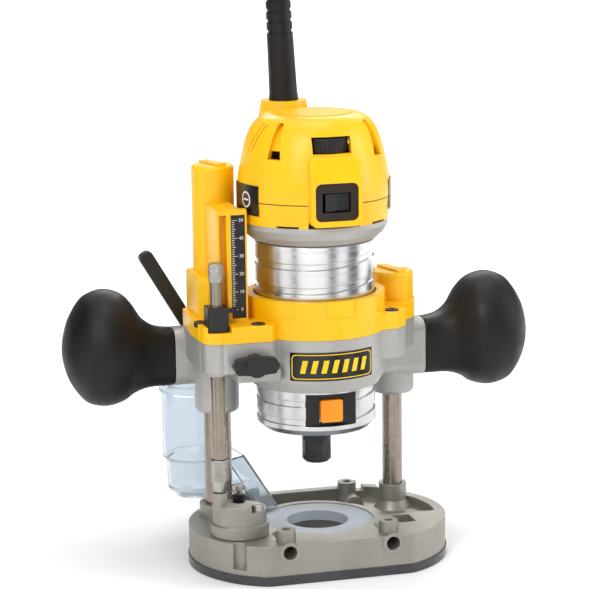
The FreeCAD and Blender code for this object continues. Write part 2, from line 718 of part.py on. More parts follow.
def make_motor_clamp_lever():
    x, y, z = clamp_pivot_x, ear_bolt_y, ear_bolt_z
    hub = cyl(x, y, z - 9, z + 9, 4.9)
    arm = prism([(x + 2, y + 4.5), (x + 4.9, y), (x + 4.9, y + 9), (x, y + 12.5), (x - 36, y + 12.5),
                 (x - 38, y + 10.5), (x - 38, y + 8.5), (x - 6, y + 7.5)], z - 9, z + 9)
    room = cyl(x, y, z - 5.4, z + 5.4, 5.3)
    gap = box(x - 30, x, y - 6, y + 5.4, z - 5.4, z + 5.4)
    lever = cut(fuse(hub, arm), room, gap)
    return cut(lever, cyl(x, y, z - 20, z + 20, 2.0 + slide_fit))


# ---- knobs ----

def knob_sections():
    """Distance from the joint, top and bottom of a knob."""
    return [(0, 134.0, 100.6), (7, 134.9, 100.5), (12.6, 136.9, 100.4), (18.7, 142.0, 99.4),
            (24.7, 151.2, 97.0), (31, 157.0, 92.9), (40.6, 159.4, 90.8), (50, 156.6, 92.8),
            (55, 152.0, 97.0), (60, 144.0, 104.5), (63, 136.0, 112.0), (64.6, 129.0, 119.5)]


knob_neck_share = neck_half_deep / neck_half_tall
knob_round_from = 31.0    # past this distance the knob has its full depth


def make_grip(side):
    wires = []
    for distance, top, bottom in knob_sections():
        tall = (top - bottom) / 2
        share = knob_neck_share + (knob_depth_share - knob_neck_share) * min(1, distance / knob_round_from)
        centre = V(side * (neck_ends[side] + distance), handle_ys[side], (top + bottom) / 2)
        curve = Part.Ellipse(centre + V(0, 0, tall), centre + V(0, tall * share, 0), centre)
        wires.append(Part.Wire([curve.toShape()]))
    body = Part.makeLoft(wires, True, False)
    bore = rod(V(side * (neck_ends[side] - 1), handle_ys[side], handle_z), V(side, 0, 0),
               knob_core_reach + 1.2, knob_core_radius)
    return cut(body, bore)


def make_knob_core(side):
    start = V(side * neck_ends[side], handle_ys[side], handle_z)
    core = rod(start, V(side, 0, 0), knob_core_reach, knob_core_radius)
    stud = rod(start, V(-side, 0, 0), knob_stud_depth - 0.3, knob_stud_radius)
    return fuse(core, stud)


# ======== motor ========

lock_flat_y = -31.0
lock_z0, lock_z1 = 85.5, 104.3
lock_half_width = 14.8
button_half = 6.5
button_z = 94.2
groove_width, groove_depth = 3.0, 0.7
groove_heights = (86.5, 97.0, 162.2, 175.8)


def make_motor_barrel():
    r = motor_radius
    outer = turned([(0, barrel_bottom), (r - barrel_chamfer, barrel_bottom), (r, barrel_bottom + barrel_chamfer),
                    (r, barrel_top), (0, barrel_top)])
    inner = cyl(0, 0, barrel_bottom + barrel_foot_thick, barrel_top + 1, r - barrel_wall)
    seat = cyl(0, 0, barrel_bottom + 2, 150, bearing_lower_radius)
    throat = cyl(0, 0, 0, 150, spindle_radius + 6.3)
    grooves = []
    for z in groove_heights:
        grooves.append(cut(cyl(0, 0, z, z + groove_width, r + 1), cyl(0, 0, z, z + groove_width, r - groove_depth)))
    flat = box(-lock_half_width, lock_half_width, -60, lock_flat_y, lock_z0, lock_z1)
    back = box(-lock_half_width, lock_half_width, lock_flat_y - 0.1, lock_flat_y + 1.0, lock_z0, lock_z1)
    well = box(-button_half, button_half, lock_flat_y, -20, button_z - button_half, button_z + button_half)
    return cut(outer, inner, seat, throat, flat, back, well, *grooves)


def make_lock_panel():
    plate = box(-lock_half_width, lock_half_width, lock_flat_y, lock_flat_y + 1.0, lock_z0, lock_z1)
    window = box(-button_half - 0.3, button_half + 0.3, -40, 0, button_z - button_half - 0.3,
                 button_z + button_half + 0.3)
    return cut(plate, window)


def make_lock_button():
    half = button_half - 0.1
    cap = box(-half, half, -33.6, lock_flat_y + 4, button_z - half, button_z + half)
    cap = round_edges(cap, V(0, 1, 0), 1.2)
    return cap


def make_lock_button_spring():
    rings = []
    for k in range(4):
        rings.append(Part.makeTorus(2.6, 0.35, V(0, lock_flat_y + 4.6 + 1.5 * k, button_z), V(0, 1, 0)))
    return rings


def make_motor_flange():
    profile = [(0, barrel_top), (33.0, barrel_top), (36.0, 190.0), (40.0, 193.5), (flange_radius, 198.0),
               (flange_radius, flange_top), (0, flange_top)]
    body = turned(profile)
    hollow = turned([(12.5, barrel_top - 1), (31, barrel_top - 1), (31, 192), (38.5, 197), (38.5, flange_top - 2),
                     (12.5, flange_top - 2)])
    seat = cyl(0, 0, barrel_top - 1, flange_top - 2, bearing_upper_radius)
    bores = [cyl(20 * cos(a), 20 * sin(a), 150, 250, 5) for a in (radians(k) for k in (45, 135, 225, 315))]
    return cut(body, hollow, seat, cyl(0, 0, 150, 250, spindle_radius + 0.6), *bores)


cap_profile = [(flange_radius, flange_top), (43.5, 210.0), (43.7, 221.5), (41.9, 233.0), (39.4, 243.8),
               (35.4, 253.6), (31.0, 258.6), (24.0, cap_top)]


def cap_body(inset, z0, z1):
    """The cap's outer form, moved inwards by inset, between two heights."""
    points = [V(r - inset, 0, z - (inset if z > 240 else 0)) for r, z in cap_profile]
    side = Part.BSplineCurve()
    side.interpolate(points)
    low, high = V(0, 0, points[0].z), V(0, 0, points[-1].z)
    edges = [side.toShape(), Part.LineSegment(points[-1], high).toShape(),
             Part.LineSegment(high, low).toShape(), Part.LineSegment(low, points[0]).toShape()]
    return Part.Face(Part.Wire(edges)).revolve(V(0, 0, 0), UP, 360).common(cyl(0, 0, z0, z1, 60))


panel_half_width = 14.8
panel_x = 0.6
panel_face = -46.8
panel_bottom, panel_top = 202.0, 240.5
panel_knee, panel_top_face = 228.5, -42.6      # above the knee the face leans back with the cap
switch_z0, switch_z1 = 205.4, 226.6
switch_half_width = 12.4
dial_z0, dial_z1 = 241.8, 250.6
dial_half_width = 11.2
dial_radius = 12.3
dial_x, dial_y = 0.4, -25.5
vent_angle = 48.5                              # each side of the front and the back
vent_z0, vent_z1 = 238.5, 258.0
vent_low_width, vent_high_width = 8.6, 3.0
fine_slot_angles = (-167.0, -161.0)


def vent_slot(angle, reach):
    """A slot in the cap's wall, wide at its foot, cut in as far as reach from the axis."""
    low, high = vent_low_width / 2, vent_high_width / 2
    points = [V(reach, -low, vent_z0), V(reach, low, vent_z0), V(reach, high, vent_z1), V(reach, -high, vent_z1)]
    slot = Part.Face(Part.makePolygon(points + points[:1])).extrude(V(60 - reach, 0, 0))
    slot.rotate(V(0, 0, 0), UP, angle)
    return slot


def fine_slot(angle):
    """A narrow leaning groove in the cap's side."""
    slot = box(30, 60, -0.45, 0.45, 240.5, 257.5)
    slot.rotate(V(0, 0, 249), RIGHT, -22)
    slot = cut(slot, cap_body(1.0, 0, 300))
    slot.rotate(V(0, 0, 0), UP, angle)
    return slot


def make_panel():
    """The raised panel round the switch; its face leans back above the knee."""
    x0, x1 = panel_x - panel_half_width, panel_x + panel_half_width
    points = [V(x0, -30, panel_bottom), V(x0, panel_face, panel_bottom), V(x0, panel_face, panel_knee),
              V(x0, panel_top_face, panel_top), V(x0, -30, panel_top)]
    block = Part.Face(Part.makePolygon(points + points[:1])).extrude(V(x1 - x0, 0, 0))
    corners = [e for e in block.Edges if e.BoundBox.YLength > 10 and e.BoundBox.XLength < 0.1
               and (e.BoundBox.ZMax < panel_bottom + 0.1 or e.BoundBox.ZMin > panel_top - 0.1)]
    block = block.makeFillet(4.0, corners)
    rim = [e for e in block.Edges if e.BoundBox.YMax < -40]
    return block.makeFillet(1.2, rim)


def make_motor_cap():
    shell = cut(cap_body(0, cap_seam, 300), cap_body(cap_wall, 0, 300))
    collar = cone(guard_x, guard_y, 246, 265.2, 16.5, 13.2)
    lid = cyl(0, -2, cap_top - 1.5, cap_top + 0.5, 22)
    body = fuse(shell, make_panel(), collar, lid)
    body = cut(body, cap_body(cap_wall, flange_top - 1, 300).cut(
        cyl(guard_x, guard_y, 246, 300, 12)))
    holes = [round_box(panel_x - switch_half_width, panel_x + switch_half_width, -60, -20,
                       switch_z0, switch_z1, 3.5, V(0, 1, 0)),
             box(dial_x - dial_half_width, dial_x + dial_half_width, -60, -20, dial_z0, dial_z1 + 0.6),
             cyl(guard_x, guard_y, 240, 300, guard_radius + 0.1),
             cyl(guard_x, guard_y, 240, guard_bottom + 0.1, guard_radius + 2.4)]
    for angle in (-90 - vent_angle, -90 + vent_angle, 90 - vent_angle, 90 + vent_angle):
        holes.append(cut(vent_slot(angle, 20), cap_body(2.2, 0, 300)))
        holes.append(vent_slot(angle, 20).common(cyl(0, 0, vent_z0, vent_z0 + 4.5, 60)))
    holes += [fine_slot(angle) for angle in fine_slot_angles]
    body = cut(body, *holes)
    return max(body.Solids, key=lambda solid: solid.Volume)


def make_cap_band():
    shell = cut(cap_body(0, flange_top, cap_seam), cap_body(cap_wall, 0, 300))
    half = panel_half_width + 0.05
    gap = box(panel_x - half, panel_x + half, -60, -20, 150, 300)
    notches = [ring_sector(38, 60, flange_top - 3, flange_top + 1.2, -90 + angle, 9)
               for angle in (-36, 44, 146, 214)]
    body = cut(shell, gap, *notches)
    return max(body.Solids, key=lambda solid: solid.Volume)


def make_switch_boot():
    half = switch_half_width
    outer = round_box(panel_x - half, panel_x + half, panel_face + 0.9, -33, switch_z0, switch_z1, 3.5, V(0, 1, 0))
    well = round_box(rocker_x0 - 0.5, rocker_x1 + 0.5, -60, -36, rocker_z0 - 0.5, rocker_z1 + 0.5, 0.8, V(0, 1, 0))
    axle_hole = cyl((rocker_x0 + rocker_x1) / 2, rocker_pivot_y, rocker_z0 - rocker_axle_reach - 0.1,
                    rocker_z1 + rocker_axle_reach + 0.1, rocker_axle_radius + slide_fit)
    return cut(outer, well, axle_hole)


rocker_x0, rocker_x1 = -7.2, 8.4
rocker_z0, rocker_z1 = 210.6, 220.8
rocker_tilt = 9.0
rocker_axle_radius, rocker_axle_reach = 1.0, 1.8


def make_switch_rocker():
    """The rocker turns about a vertical axle at its middle; it lies tilted to one side."""
    x, z = (rocker_x0 + rocker_x1) / 2, (rocker_z0 + rocker_z1) / 2
    half_x, half_z = (rocker_x1 - rocker_x0) / 2, (rocker_z1 - rocker_z0) / 2
    points = [(x - half_x + 0.4, rocker_pivot_y - 4.6), (x, rocker_pivot_y - 3.6),
              (x + half_x - 0.4, rocker_pivot_y - 4.6), (x + 5, rocker_pivot_y + 1.5), (x - 5, rocker_pivot_y + 1.5)]
    body = prism(points, z - half_z + 0.2, z + half_z - 0.2)
    body.rotate(V(x, rocker_pivot_y, z), UP, rocker_tilt)
    axle = cyl(x, rocker_pivot_y, rocker_z0 - rocker_axle_reach, rocker_z1 + rocker_axle_reach, rocker_axle_radius)
    return fuse(body, axle)


rocker_pivot_y = -40.2


def make_speed_dial():
    wheel = cyl(dial_x, dial_y, dial_z0 + 0.5, dial_z1 - 0.3, dial_radius)
    grooves = []
    count = 30
    for k in range(count):
        a = 2 * pi * k / count
        grooves.append(cyl(dial_x + (dial_radius + 0.3) * cos(a), dial_y + (dial_radius + 0.3) * sin(a),
                           dial_z0, dial_z1, 0.8))
    return cut(wheel, *grooves, cyl(dial_x, dial_y, 200, 300, 3 + slide_fit))


def make_control_module():
    board = box(-19, 17, -31, -12, 228.5, 240.0)
    axle = cyl(dial_x, dial_y, 240.0, dial_z1 + 0.5, 3)
    return fuse(board, axle)


def make_cord_guard():
    direction = V(-guard_lean, 0, 1)
    straight = cyl(guard_x, guard_y, guard_bottom, guard_foot + 2.5, guard_radius)
    flange = cyl(guard_x, guard_y, guard_bottom - 3.6, guard_bottom, guard_radius + 2.2)
    foot = V(guard_x, guard_y, guard_foot)
    taper = Part.makeCone(guard_radius - 0.2, guard_tip_radius, guard_top - guard_foot, foot, direction)
    hole = rod(foot + direction * (guard_top - guard_foot - cord_hole_depth), direction,
               cord_hole_depth + 5, cord_hole_radius)
    ridge_rings = []
    for k in range(6):
        z = guard_top - 14 - 6 * k
        share = (z - guard_foot) / (guard_top - guard_foot)
        centre = foot + direction * (z - guard_foot)
        radius = guard_radius + (guard_tip_radius - guard_radius) * share
        ring = cut(rod(centre, direction, 2.0, radius + 2), rod(centre, direction, 2.0, radius - 0.8))
        ridge_rings.append(ring)
    return cut(fuse(straight, flange, taper), hole, *ridge_rings)


label_inner, label_outer = 43.95, 44.2
label_z0, label_z1, label_half_angle = 206.5, 223.5, 22.0


def make_side_label(middle):
    return ring_sector(label_inner, label_outer, label_z0, label_z1, middle, label_half_angle)


def make_stator():
    core = cut(cyl(0, 0, rotor_z0, rotor_z1, stator_radius), cyl(0, 0, 0, 300, rotor_radius + air_gap))
    return max(cut(core, box(-stator_radius - 1, -rotor_radius - 9, -3, 3, 0, 300),
                   box(rotor_radius + 9, stator_radius + 1, -3, 3, 0, 300)).Solids, key=lambda s: s.Volume)


def make_field_windings():
    coils = []
    for z0, z1 in ((rotor_z0 - 7, rotor_z0), (rotor_z1, rotor_z1 + 6)):
        ring = cut(cyl(0, 0, z0, z1, stator_radius - 3), cyl(0, 0, 0, 300, rotor_radius + 2.5))
        coils.append(ring)
    return coils


def make_brush_holders():
    holders = []
    for side in (-1, 1):
        start = V(side * (commutator_radius + 1.5), 0, (commutator_z0 + commutator_z1) / 2)
        body = rod(start, V(side, 0, 0), motor_radius - barrel_wall - commutator_radius - 2.3, 5)
        brush = rod(start, V(side, 0, 0), 14, 2.8)
        holders.append(cut(body, brush))
    return holders


def make_brushes():
    brushes = []
    for side in (-1, 1):
        start = V(side * (commutator_radius + 0.1), 0, (commutator_z0 + commutator_z1) / 2)
        brushes.append(rod(start, V(side, 0, 0), 13, 2.8))
    return brushes


def make_bearing(z0, height, r_out, shaft):
    race = cut(cyl(0, 0, z0, z0 + height, r_out), cyl(0, 0, 0, 300, shaft + slide_fit))
    return race


lower_bearing_z = barrel_bottom + 2
upper_bearing_z = flange_top - 2 - bearing_upper_height
spindle_top = upper_bearing_z + bearing_upper_height + 1


def make_spindle():
    shaft = cyl(0, 0, lower_bearing_z - 1, spindle_top, spindle_radius)
    nose = cyl(0, 0, nut_bottom + 6, lower_bearing_z - 0.5, 6.0)
    return cut(fuse(shaft, nose), cone(0, 0, nut_bottom + 5.9, nut_bottom + 6 + collet_depth - 4, 5.4, collet_bore + 0.5),
               cyl(0, 0, nut_bottom, nut_bottom + 6 + collet_depth, collet_bore + 0.3))


def make_collet():
    body = cone(0, 0, nut_bottom + 6, nut_bottom + 6 + collet_depth - 4, 5.35, collet_bore + 0.45)
    lip = cyl(0, 0, nut_bottom, nut_bottom + 6, 5.35)
    whole = cut(fuse(body, lip), cyl(0, 0, 0, 200, collet_bore))
    for k in range(3):
        slit = box(-0.3, 0.3, 0, 10, nut_bottom + 8, 100)
        slit.rotate(V(0, 0, 0), UP, 120 * k)
        whole = cut(whole, slit)
    return whole


def make_collet_nut():
    outer = turned([(0, nut_bottom), (nut_radius - 1.6, nut_bottom), (nut_radius, nut_bottom + 1.6),
                    (nut_radius, barrel_bottom - 4), (0, barrel_bottom - 4)])
    flats = []
    for k in range(6):
        flat = box(nut_radius * 0.94, 20, -20, 20, nut_bottom + 4, nut_bottom + 13)
        flat.rotate(V(0, 0, 0), UP, 60 * k)
        flats.append(flat)
    bore = fuse(cyl(0, 0, 0, nut_bottom + 6, 5.35), cyl(0, 0, nut_bottom + 6, 100, 6.0))
    return cut(outer, bore, *flats)


def make_rotor():
    core = cyl(0, 0, rotor_z0, rotor_z1, rotor_radius)
    ends = fuse(cyl(0, 0, rotor_z0 - 6, rotor_z0, rotor_radius - 3), cyl(0, 0, rotor_z1, rotor_z1 + 5, rotor_radius - 3))
    return cut(fuse(core, ends), cyl(0, 0, 0, 300, spindle_radius))


def make_commutator():
    return cut(cyl(0, 0, commutator_z0, commutator_z1, commutator_radius), cyl(0, 0, 0, 300, spindle_radius))


def make_fan():
    hub = cyl(0, 0, fan_z0, fan_z1, 10)
    plate = cyl(0, 0, fan_z0, fan_z0 + 2, fan_radius)
    blades = []
    for k in range(11):
        blade = box(9, fan_radius - 1, -0.8, 0.8, fan_z0 + 1, fan_z1)
        blade.rotate(V(0, 0, 0), UP, 360 / 11 * k)
        blades.append(blade)
    return cut(fuse(hub, plate, *blades), cyl(0, 0, 0, 300, spindle_radius))


# ======== dust outlet ========

def duct_frame(shape):
    """Turns a duct piece drawn along +X from the port to its place over the ring."""
    from_port = V(duct_end_x - port_x, duct_end_y - port_y, 0)
    angle = from_port.getAngle(RIGHT) * (1 if from_port.y > 0 else -1)
    shape.rotate(V(0, 0, 0), UP, angle * 180 / pi)
    shape.translate(V(port_x, port_y, 0))
    return shape


def duct_side(inset):
    """The duct's side view, as (distance from the port's axis, height)."""
    reach = sqrt((duct_end_x - port_x) ** 2 + (duct_end_y - port_y) ** 2)
    return [(port_radius - 4, 41 + inset), (port_radius + 2, 41 + inset), (reach - 15, 31.5 + inset),
            (reach, ring_top + 0.9 + inset * 0.3), (reach, ring_top + 3.0 - inset * 0.4),
            (reach - 27, 49.5 - inset), (port_radius - 4, 55 - inset)]


def duct_prism(inset, half_width):
    points = [V(s, -half_width, z) for s, z in duct_side(inset)]
    return duct_frame(Part.Face(Part.makePolygon(points + points[:1])).extrude(V(0, 2 * half_width, 0)))


def make_dust_duct():
    outer = duct_prism(0, duct_half_width)
    inner = duct_prism(duct_wall, duct_half_width - duct_wall)
    tube = cyl(port_x, port_y, 0, 200, port_radius)
    body = cut(outer, inner, tube)
    return max(body.Solids, key=lambda s: s.Volume)


def make_dust_port():
    r, w = port_radius, port_wall
    outer = turned([(0, port_bottom), (r - 8, port_bottom), (r - 3, port_bottom + 5), (r - 2, port_step - 2),
                    (r, port_step), (r, port_top - 26), (r + 1.5, port_top - 25), (r + 1.5, port_top - 21),
                    (r, port_top - 20), (r, port_top), (0, port_top)], port_x, port_y)
    inner = turned([(0, port_bottom + w), (r - 8.5, port_bottom + w), (r - 5, port_bottom + 5 + w), (r - 4, port_step - 2),
                    (r - w, port_step), (r - w, port_top + 1), (0, port_top + 1)], port_x, port_y)
    mouth = duct_prism(duct_wall, duct_half_width - duct_wall)
    arm = fuse(box(port_x + 6, -fence_rod_x + 6, base_half_depth + 1.0, port_y - 12, 26.0, 29.0),
               box(-fence_rod_x - 6, -fence_rod_x + 6, base_half_depth - 6, base_half_depth + 4, 26.0, 29.0))
    body = fuse(outer, arm)
    return cut(body, inner, mouth, cyl(-fence_rod_x, base_half_depth - 2.5, 0, 60, 1.6),
               cyl(-fence_rod_x, fence_post_y, 0, 60, fence_post_radius + 0.3))


def main():
    os.makedirs("parts", exist_ok=True)
    save("sub_base", make_sub_base())
    save("base_screws", *make_base_screws())
    save("base_casting", make_base_casting())
    save("column_set_screws", *make_column_set_screws())
    save("template_ring", make_template_ring())
    save("column_left", make_column_left())
    save("column_right", make_column_right())
    save("return_spring", make_return_spring())
    save("turret", make_turret())
    save("turret_pivot_screw", make_turret_screw())
    save("stop_screw_mid", make_stop_screw(screw_stop_angle, stop_screw_top))
    save("stop_nut_mid", make_stop_nut(screw_stop_angle, turret_low_top, turret_low_top + 4.5))
    save("stop_screw_low", make_stop_screw(low_stop_angle, stop_screw_low_top))
    save("depth_rod", make_depth_rod())
    save("fine_adjuster", make_fine_adjuster())
    save("rod_top_knob", make_rod_top_knob())
    save("zero_pointer", make_zero_pointer())
    save("carriage_casting", make_carriage_casting())
    left_bottom = column_boss_left_top + stop_gap + plunge_stroke
    save("bush_left", *make_bush(-column_x, column_left_radius, (left_bottom + 0.5, seam_height - bush_length - 0.5)))
    save("bush_right", *make_bush(column_x, column_right_radius, (tower_right_bottom + 0.5,)))
    save("top_cover", make_top_cover())
    save("cover_screws", *make_cover_screws())
    save("scale_plate", make_scale_plate())
    save("name_plate", make_name_plate())
    save("rod_lock_knob", make_rod_lock_knob())
    save("plunge_lock_lever", make_plunge_lock_lever())
    save("lever_bolt", make_lever_bolt())
    save("clamp_bolt", make_clamp_bolt())
    save("motor_clamp_lever", make_motor_clamp_lever())
    save("grip_right", make_grip(1))
    save("grip_left", make_grip(-1))
    save("knob_core_right", make_knob_core(1))
    save("knob_core_left", make_knob_core(-1))
    save("motor_barrel", make_motor_barrel())
    save("lock_panel", make_lock_panel())
    save("spindle_lock_button", make_lock_button())
    save("button_spring", *make_lock_button_spring())
    save("motor_flange", make_motor_flange())
    save("motor_cap", make_motor_cap())
    save("cap_band", make_cap_band())
    save("switch_boot", make_switch_boot())
    save("switch_rocker", make_switch_rocker())
    save("speed_dial", make_speed_dial())
    save("control_module", make_control_module())
    save("cord_guard", make_cord_guard())
    save("side_labels", make_side_label(-172), make_side_label(-8))
    save("stator", make_stator())
    save("field_windings", *make_field_windings())
    save("brush_holders", *make_brush_holders())
    save("brushes", *make_brushes())
    save("lower_bearing", make_bearing(lower_bearing_z, bearing_lower_height, bearing_lower_radius, spindle_radius))
    save("upper_bearing", make_bearing(upper_bearing_z, bearing_upper_height, bearing_upper_radius, spindle_radius))
    save("spindle", make_spindle())
    save("collet", make_collet())
    save("collet_nut", make_collet_nut())
    save("rotor", make_rotor())
    save("commutator", make_commutator())
    save("fan", make_fan())
    save("dust_port", make_dust_port())
    save("dust_duct", make_dust_duct())


main()
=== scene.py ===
"""Looks of a plunge router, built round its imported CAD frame.

Metres, +Z up, -Y the front, +X the right. The origin is on the spindle axis, under the sub-base.
Sizes below are written in millimetres times MM.
"""
import json
from math import cos, degrees, hypot, pi, radians, sin

import bpy
from mathutils import Matrix, Vector


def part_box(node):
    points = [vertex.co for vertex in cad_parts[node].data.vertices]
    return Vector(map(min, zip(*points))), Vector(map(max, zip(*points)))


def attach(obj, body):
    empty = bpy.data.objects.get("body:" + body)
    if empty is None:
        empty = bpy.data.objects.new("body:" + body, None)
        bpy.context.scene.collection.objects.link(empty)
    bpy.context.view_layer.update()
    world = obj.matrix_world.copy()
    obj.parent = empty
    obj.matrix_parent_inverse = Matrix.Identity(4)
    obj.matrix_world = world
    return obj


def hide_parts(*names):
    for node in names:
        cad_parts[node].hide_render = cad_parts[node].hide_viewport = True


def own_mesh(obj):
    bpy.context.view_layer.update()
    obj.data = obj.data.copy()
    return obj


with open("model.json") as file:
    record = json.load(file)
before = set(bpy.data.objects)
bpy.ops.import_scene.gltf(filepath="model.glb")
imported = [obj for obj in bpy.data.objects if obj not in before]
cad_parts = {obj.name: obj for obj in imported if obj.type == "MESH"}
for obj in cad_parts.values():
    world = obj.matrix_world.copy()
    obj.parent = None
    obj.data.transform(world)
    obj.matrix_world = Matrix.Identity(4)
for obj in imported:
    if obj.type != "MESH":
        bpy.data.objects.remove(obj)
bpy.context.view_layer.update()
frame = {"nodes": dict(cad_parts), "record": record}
nodes = frame["nodes"]
MM = 0.001


# ======== materials ========

class Finish:
    """A node material: a Principled shader, with helpers that add detail to it."""

    def __init__(self, name, colour, rough, metal=0.0):
        self.mat = bpy.data.materials.new(name)
        self.mat.use_nodes = True
        self.tree = self.mat.node_tree
        self.shader = self.tree.nodes["Principled BSDF"]
        self.shader.inputs["Metallic"].default_value = metal
        self.shader.inputs["Base Color"].default_value = (*colour, 1)
        self.shader.inputs["Roughness"].default_value = rough
        self.colour = None
        self.base = colour
        self.where = self.node("ShaderNodeTexCoord").outputs["Object"]

    def node(self, kind):
        return self.tree.nodes.new(kind)

    def link(self, a, b):
        self.tree.links.new(a, b)

    def stretched(self, x, y, z):
        """Object coordinates with each axis scaled."""
        mapping = self.node("ShaderNodeMapping")
        mapping.inputs["Scale"].default_value = (x, y, z)
        self.link(self.where, mapping.inputs["Vector"])
        return mapping.outputs["Vector"]

    def noise(self, scale, detail=3.0, where=None):
        texture = self.node("ShaderNodeTexNoise")
        texture.inputs["Scale"].default_value = scale
        texture.inputs["Detail"].default_value = detail
        self.link(where or self.where, texture.inputs["Vector"])
        return texture.outputs["Fac"]

    def ramp(self, value, low, high, out_low=0.0, out_high=1.0):
        span = self.node("ShaderNodeMapRange")
        span.inputs["From Min"].default_value = low
        span.inputs["From Max"].default_value = high
        span.inputs["To Min"].default_value = out_low
        span.inputs["To Max"].default_value = out_high
        self.link(value, span.inputs["Value"])
        return span.outputs["Result"]

    def blend(self, factor, colour):
        """Lays a second colour over what is there, where factor is high."""
        mix = self.node("ShaderNodeMix")
        mix.data_type = "RGBA"
        if self.colour is None:
            mix.inputs["A"].default_value = (*self.base, 1)
        else:
            self.link(self.colour, mix.inputs["A"])
        mix.inputs["B"].default_value = (*colour, 1)
        self.link(factor, mix.inputs["Factor"])
        self.colour = mix.outputs["Result"]
        self.link(self.colour, self.shader.inputs["Base Color"])

    def mottle(self, colour, scale, low=0.45, high=0.75):
        self.blend(self.ramp(self.noise(scale), low, high), colour)

    def worn(self, colour, radius, strength=1.0):
        """Painted highlight: lighter edges, where a rounded normal departs from the flat one."""
        soft = self.node("ShaderNodeBevel")
        soft.samples = 4
        soft.inputs["Radius"].default_value = radius
        flat = self.node("ShaderNodeNewGeometry")
        dot = self.node("ShaderNodeVectorMath")
        dot.operation = "DOT_PRODUCT"
        self.link(soft.outputs["Normal"], dot.inputs[0])
        self.link(flat.outputs["Normal"], dot.inputs[1])
        self.blend(self.ramp(dot.outputs["Value"], 0.98, 0.75, 0.0, strength), colour)

    def rough(self, low, high, scale, detail=4.0, where=None):
        value = self.ramp(self.noise(scale, detail, where), 0.35, 0.65, low, high)
        self.link(value, self.shader.inputs["Roughness"])

    def rings(self, pitch):
        """Height of fine turning marks, one to each pitch of height."""
        wave = self.node("ShaderNodeTexWave")
        wave.bands_direction = "Z"
        wave.inputs["Scale"].default_value = 0.314 / pitch
        wave.inputs["Distortion"].default_value = 0.0
        self.link(self.where, wave.inputs["Vector"])
        return wave.outputs["Fac"]

    def bump(self, height, distance, edge=None):
        """A bump from a height; with edge it starts from edges rounded by that radius."""
        bump = self.node("ShaderNodeBump")
        bump.inputs["Strength"].default_value = 1.0
        bump.inputs["Distance"].default_value = distance
        self.link(height, bump.inputs["Height"])
        before = self.shader.inputs["Normal"].links
        if before:
            self.link(before[0].from_socket, bump.inputs["Normal"])
        elif edge:
            soft = self.node("ShaderNodeBevel")
            soft.samples = 4
            soft.inputs["Radius"].default_value = edge
            self.link(soft.outputs["Normal"], bump.inputs["Normal"])
        self.link(bump.outputs["Normal"], self.shader.inputs["Normal"])

    def set(self, **sockets):
        for name, value in sockets.items():
            self.shader.inputs[name.replace("_", " ")].default_value = value


def yellow_plastic():
    finish = Finish("yellow_plastic", (0.95, 0.52, 0.0), 0.40)
    finish.mottle((0.90, 0.475, 0.0), 26)
    # painted highlight: the edges are lightened to a paler yellow
    finish.worn((1.0, 0.62, 0.02), 0.5 * MM, 0.5)
    finish.rough(0.30, 0.44, 220)
    finish.bump(finish.noise(2600, 2), 0.012 * MM, 0.5 * MM)
    finish.set(Coat_Weight=0.06, Coat_Roughness=0.25, Specular_IOR_Level=0.4)
    return finish.mat


def orange_plastic():
    finish = Finish("orange_plastic", (1.0, 0.30, 0.0), 0.34)
    finish.mottle((0.92, 0.25, 0.0), 60)
    # painted highlight: the edges are lightened to a paler orange
    finish.worn((1.0, 0.42, 0.06), 0.5 * MM, 0.5)
    finish.bump(finish.noise(2400, 2), 0.01 * MM, 0.5 * MM)
    return finish.mat


def black_plastic():
    finish = Finish("black_plastic", (0.007, 0.007, 0.0075), 0.42)
    finish.mottle((0.011, 0.0105, 0.0105), 45)
    # painted highlight: the edges are lightened to a dark grey
    finish.worn((0.05, 0.05, 0.052), 0.4 * MM, 0.7)
    finish.rough(0.36, 0.5, 300)
    finish.bump(finish.noise(3000, 2), 0.02 * MM, 0.4 * MM)
    return finish.mat


def black_rubber():
    finish = Finish("black_rubber", (0.0050, 0.0034, 0.0029), 0.48)
    finish.mottle((0.0085, 0.006, 0.005), 22)
    finish.rough(0.44, 0.56, 90)
    finish.bump(finish.noise(1900, 3), 0.03 * MM)
    finish.set(Specular_IOR_Level=0.35)
    return finish.mat


def cast_aluminium():
    finish = Finish("cast_aluminium", (0.47, 0.46, 0.445), 0.46, 0.6)
    finish.mottle((0.41, 0.40, 0.385), 38)
    # painted highlight: the edges are lightened to a pale grey
    finish.worn((0.60, 0.60, 0.60), 0.7 * MM, 0.6)
    finish.rough(0.42, 0.58, 500)
    finish.bump(finish.noise(900, 3), 0.05 * MM, 0.9 * MM)
    return finish.mat


def warm_casting():
    finish = Finish("warm_casting", (0.37, 0.355, 0.315), 0.44, 0.7)
    finish.mottle((0.31, 0.30, 0.265), 30)
    # painted highlight: the edges are lightened to a pale champagne
    finish.worn((0.62, 0.60, 0.55), 0.7 * MM, 0.6)
    finish.rough(0.40, 0.54, 500)
    finish.bump(finish.noise(900, 3), 0.05 * MM, 0.9 * MM)
    return finish.mat


def turned_aluminium():
    finish = Finish("turned_aluminium", (0.66, 0.66, 0.665), 0.24, 1.0)
    finish.mottle((0.58, 0.58, 0.59), 60)
    finish.rough(0.20, 0.27, 12, 5, finish.stretched(1, 1, 60))
    finish.bump(finish.rings(0.22 * MM), 0.0012 * MM, 0.25 * MM)
    tangent = finish.node("ShaderNodeTangent")
    tangent.direction_type = "RADIAL"
    tangent.axis = "Z"
    finish.link(tangent.outputs["Tangent"], finish.shader.inputs["Tangent"])
    finish.set(Anisotropic=0.6)
    return finish.mat


def steel(name, colour, other, rough, metal=1.0, ring=0.18 * MM):
    def make():
        finish = Finish(name, colour, rough, metal)
        finish.mottle(other, 90)
        finish.rough(rough - 0.06, rough + 0.08, 150)
        finish.bump(finish.rings(ring), 0.002 * MM, 0.25 * MM)
        finish.bump(finish.noise(1500, 3), 0.006 * MM)
        return finish.mat
    return make


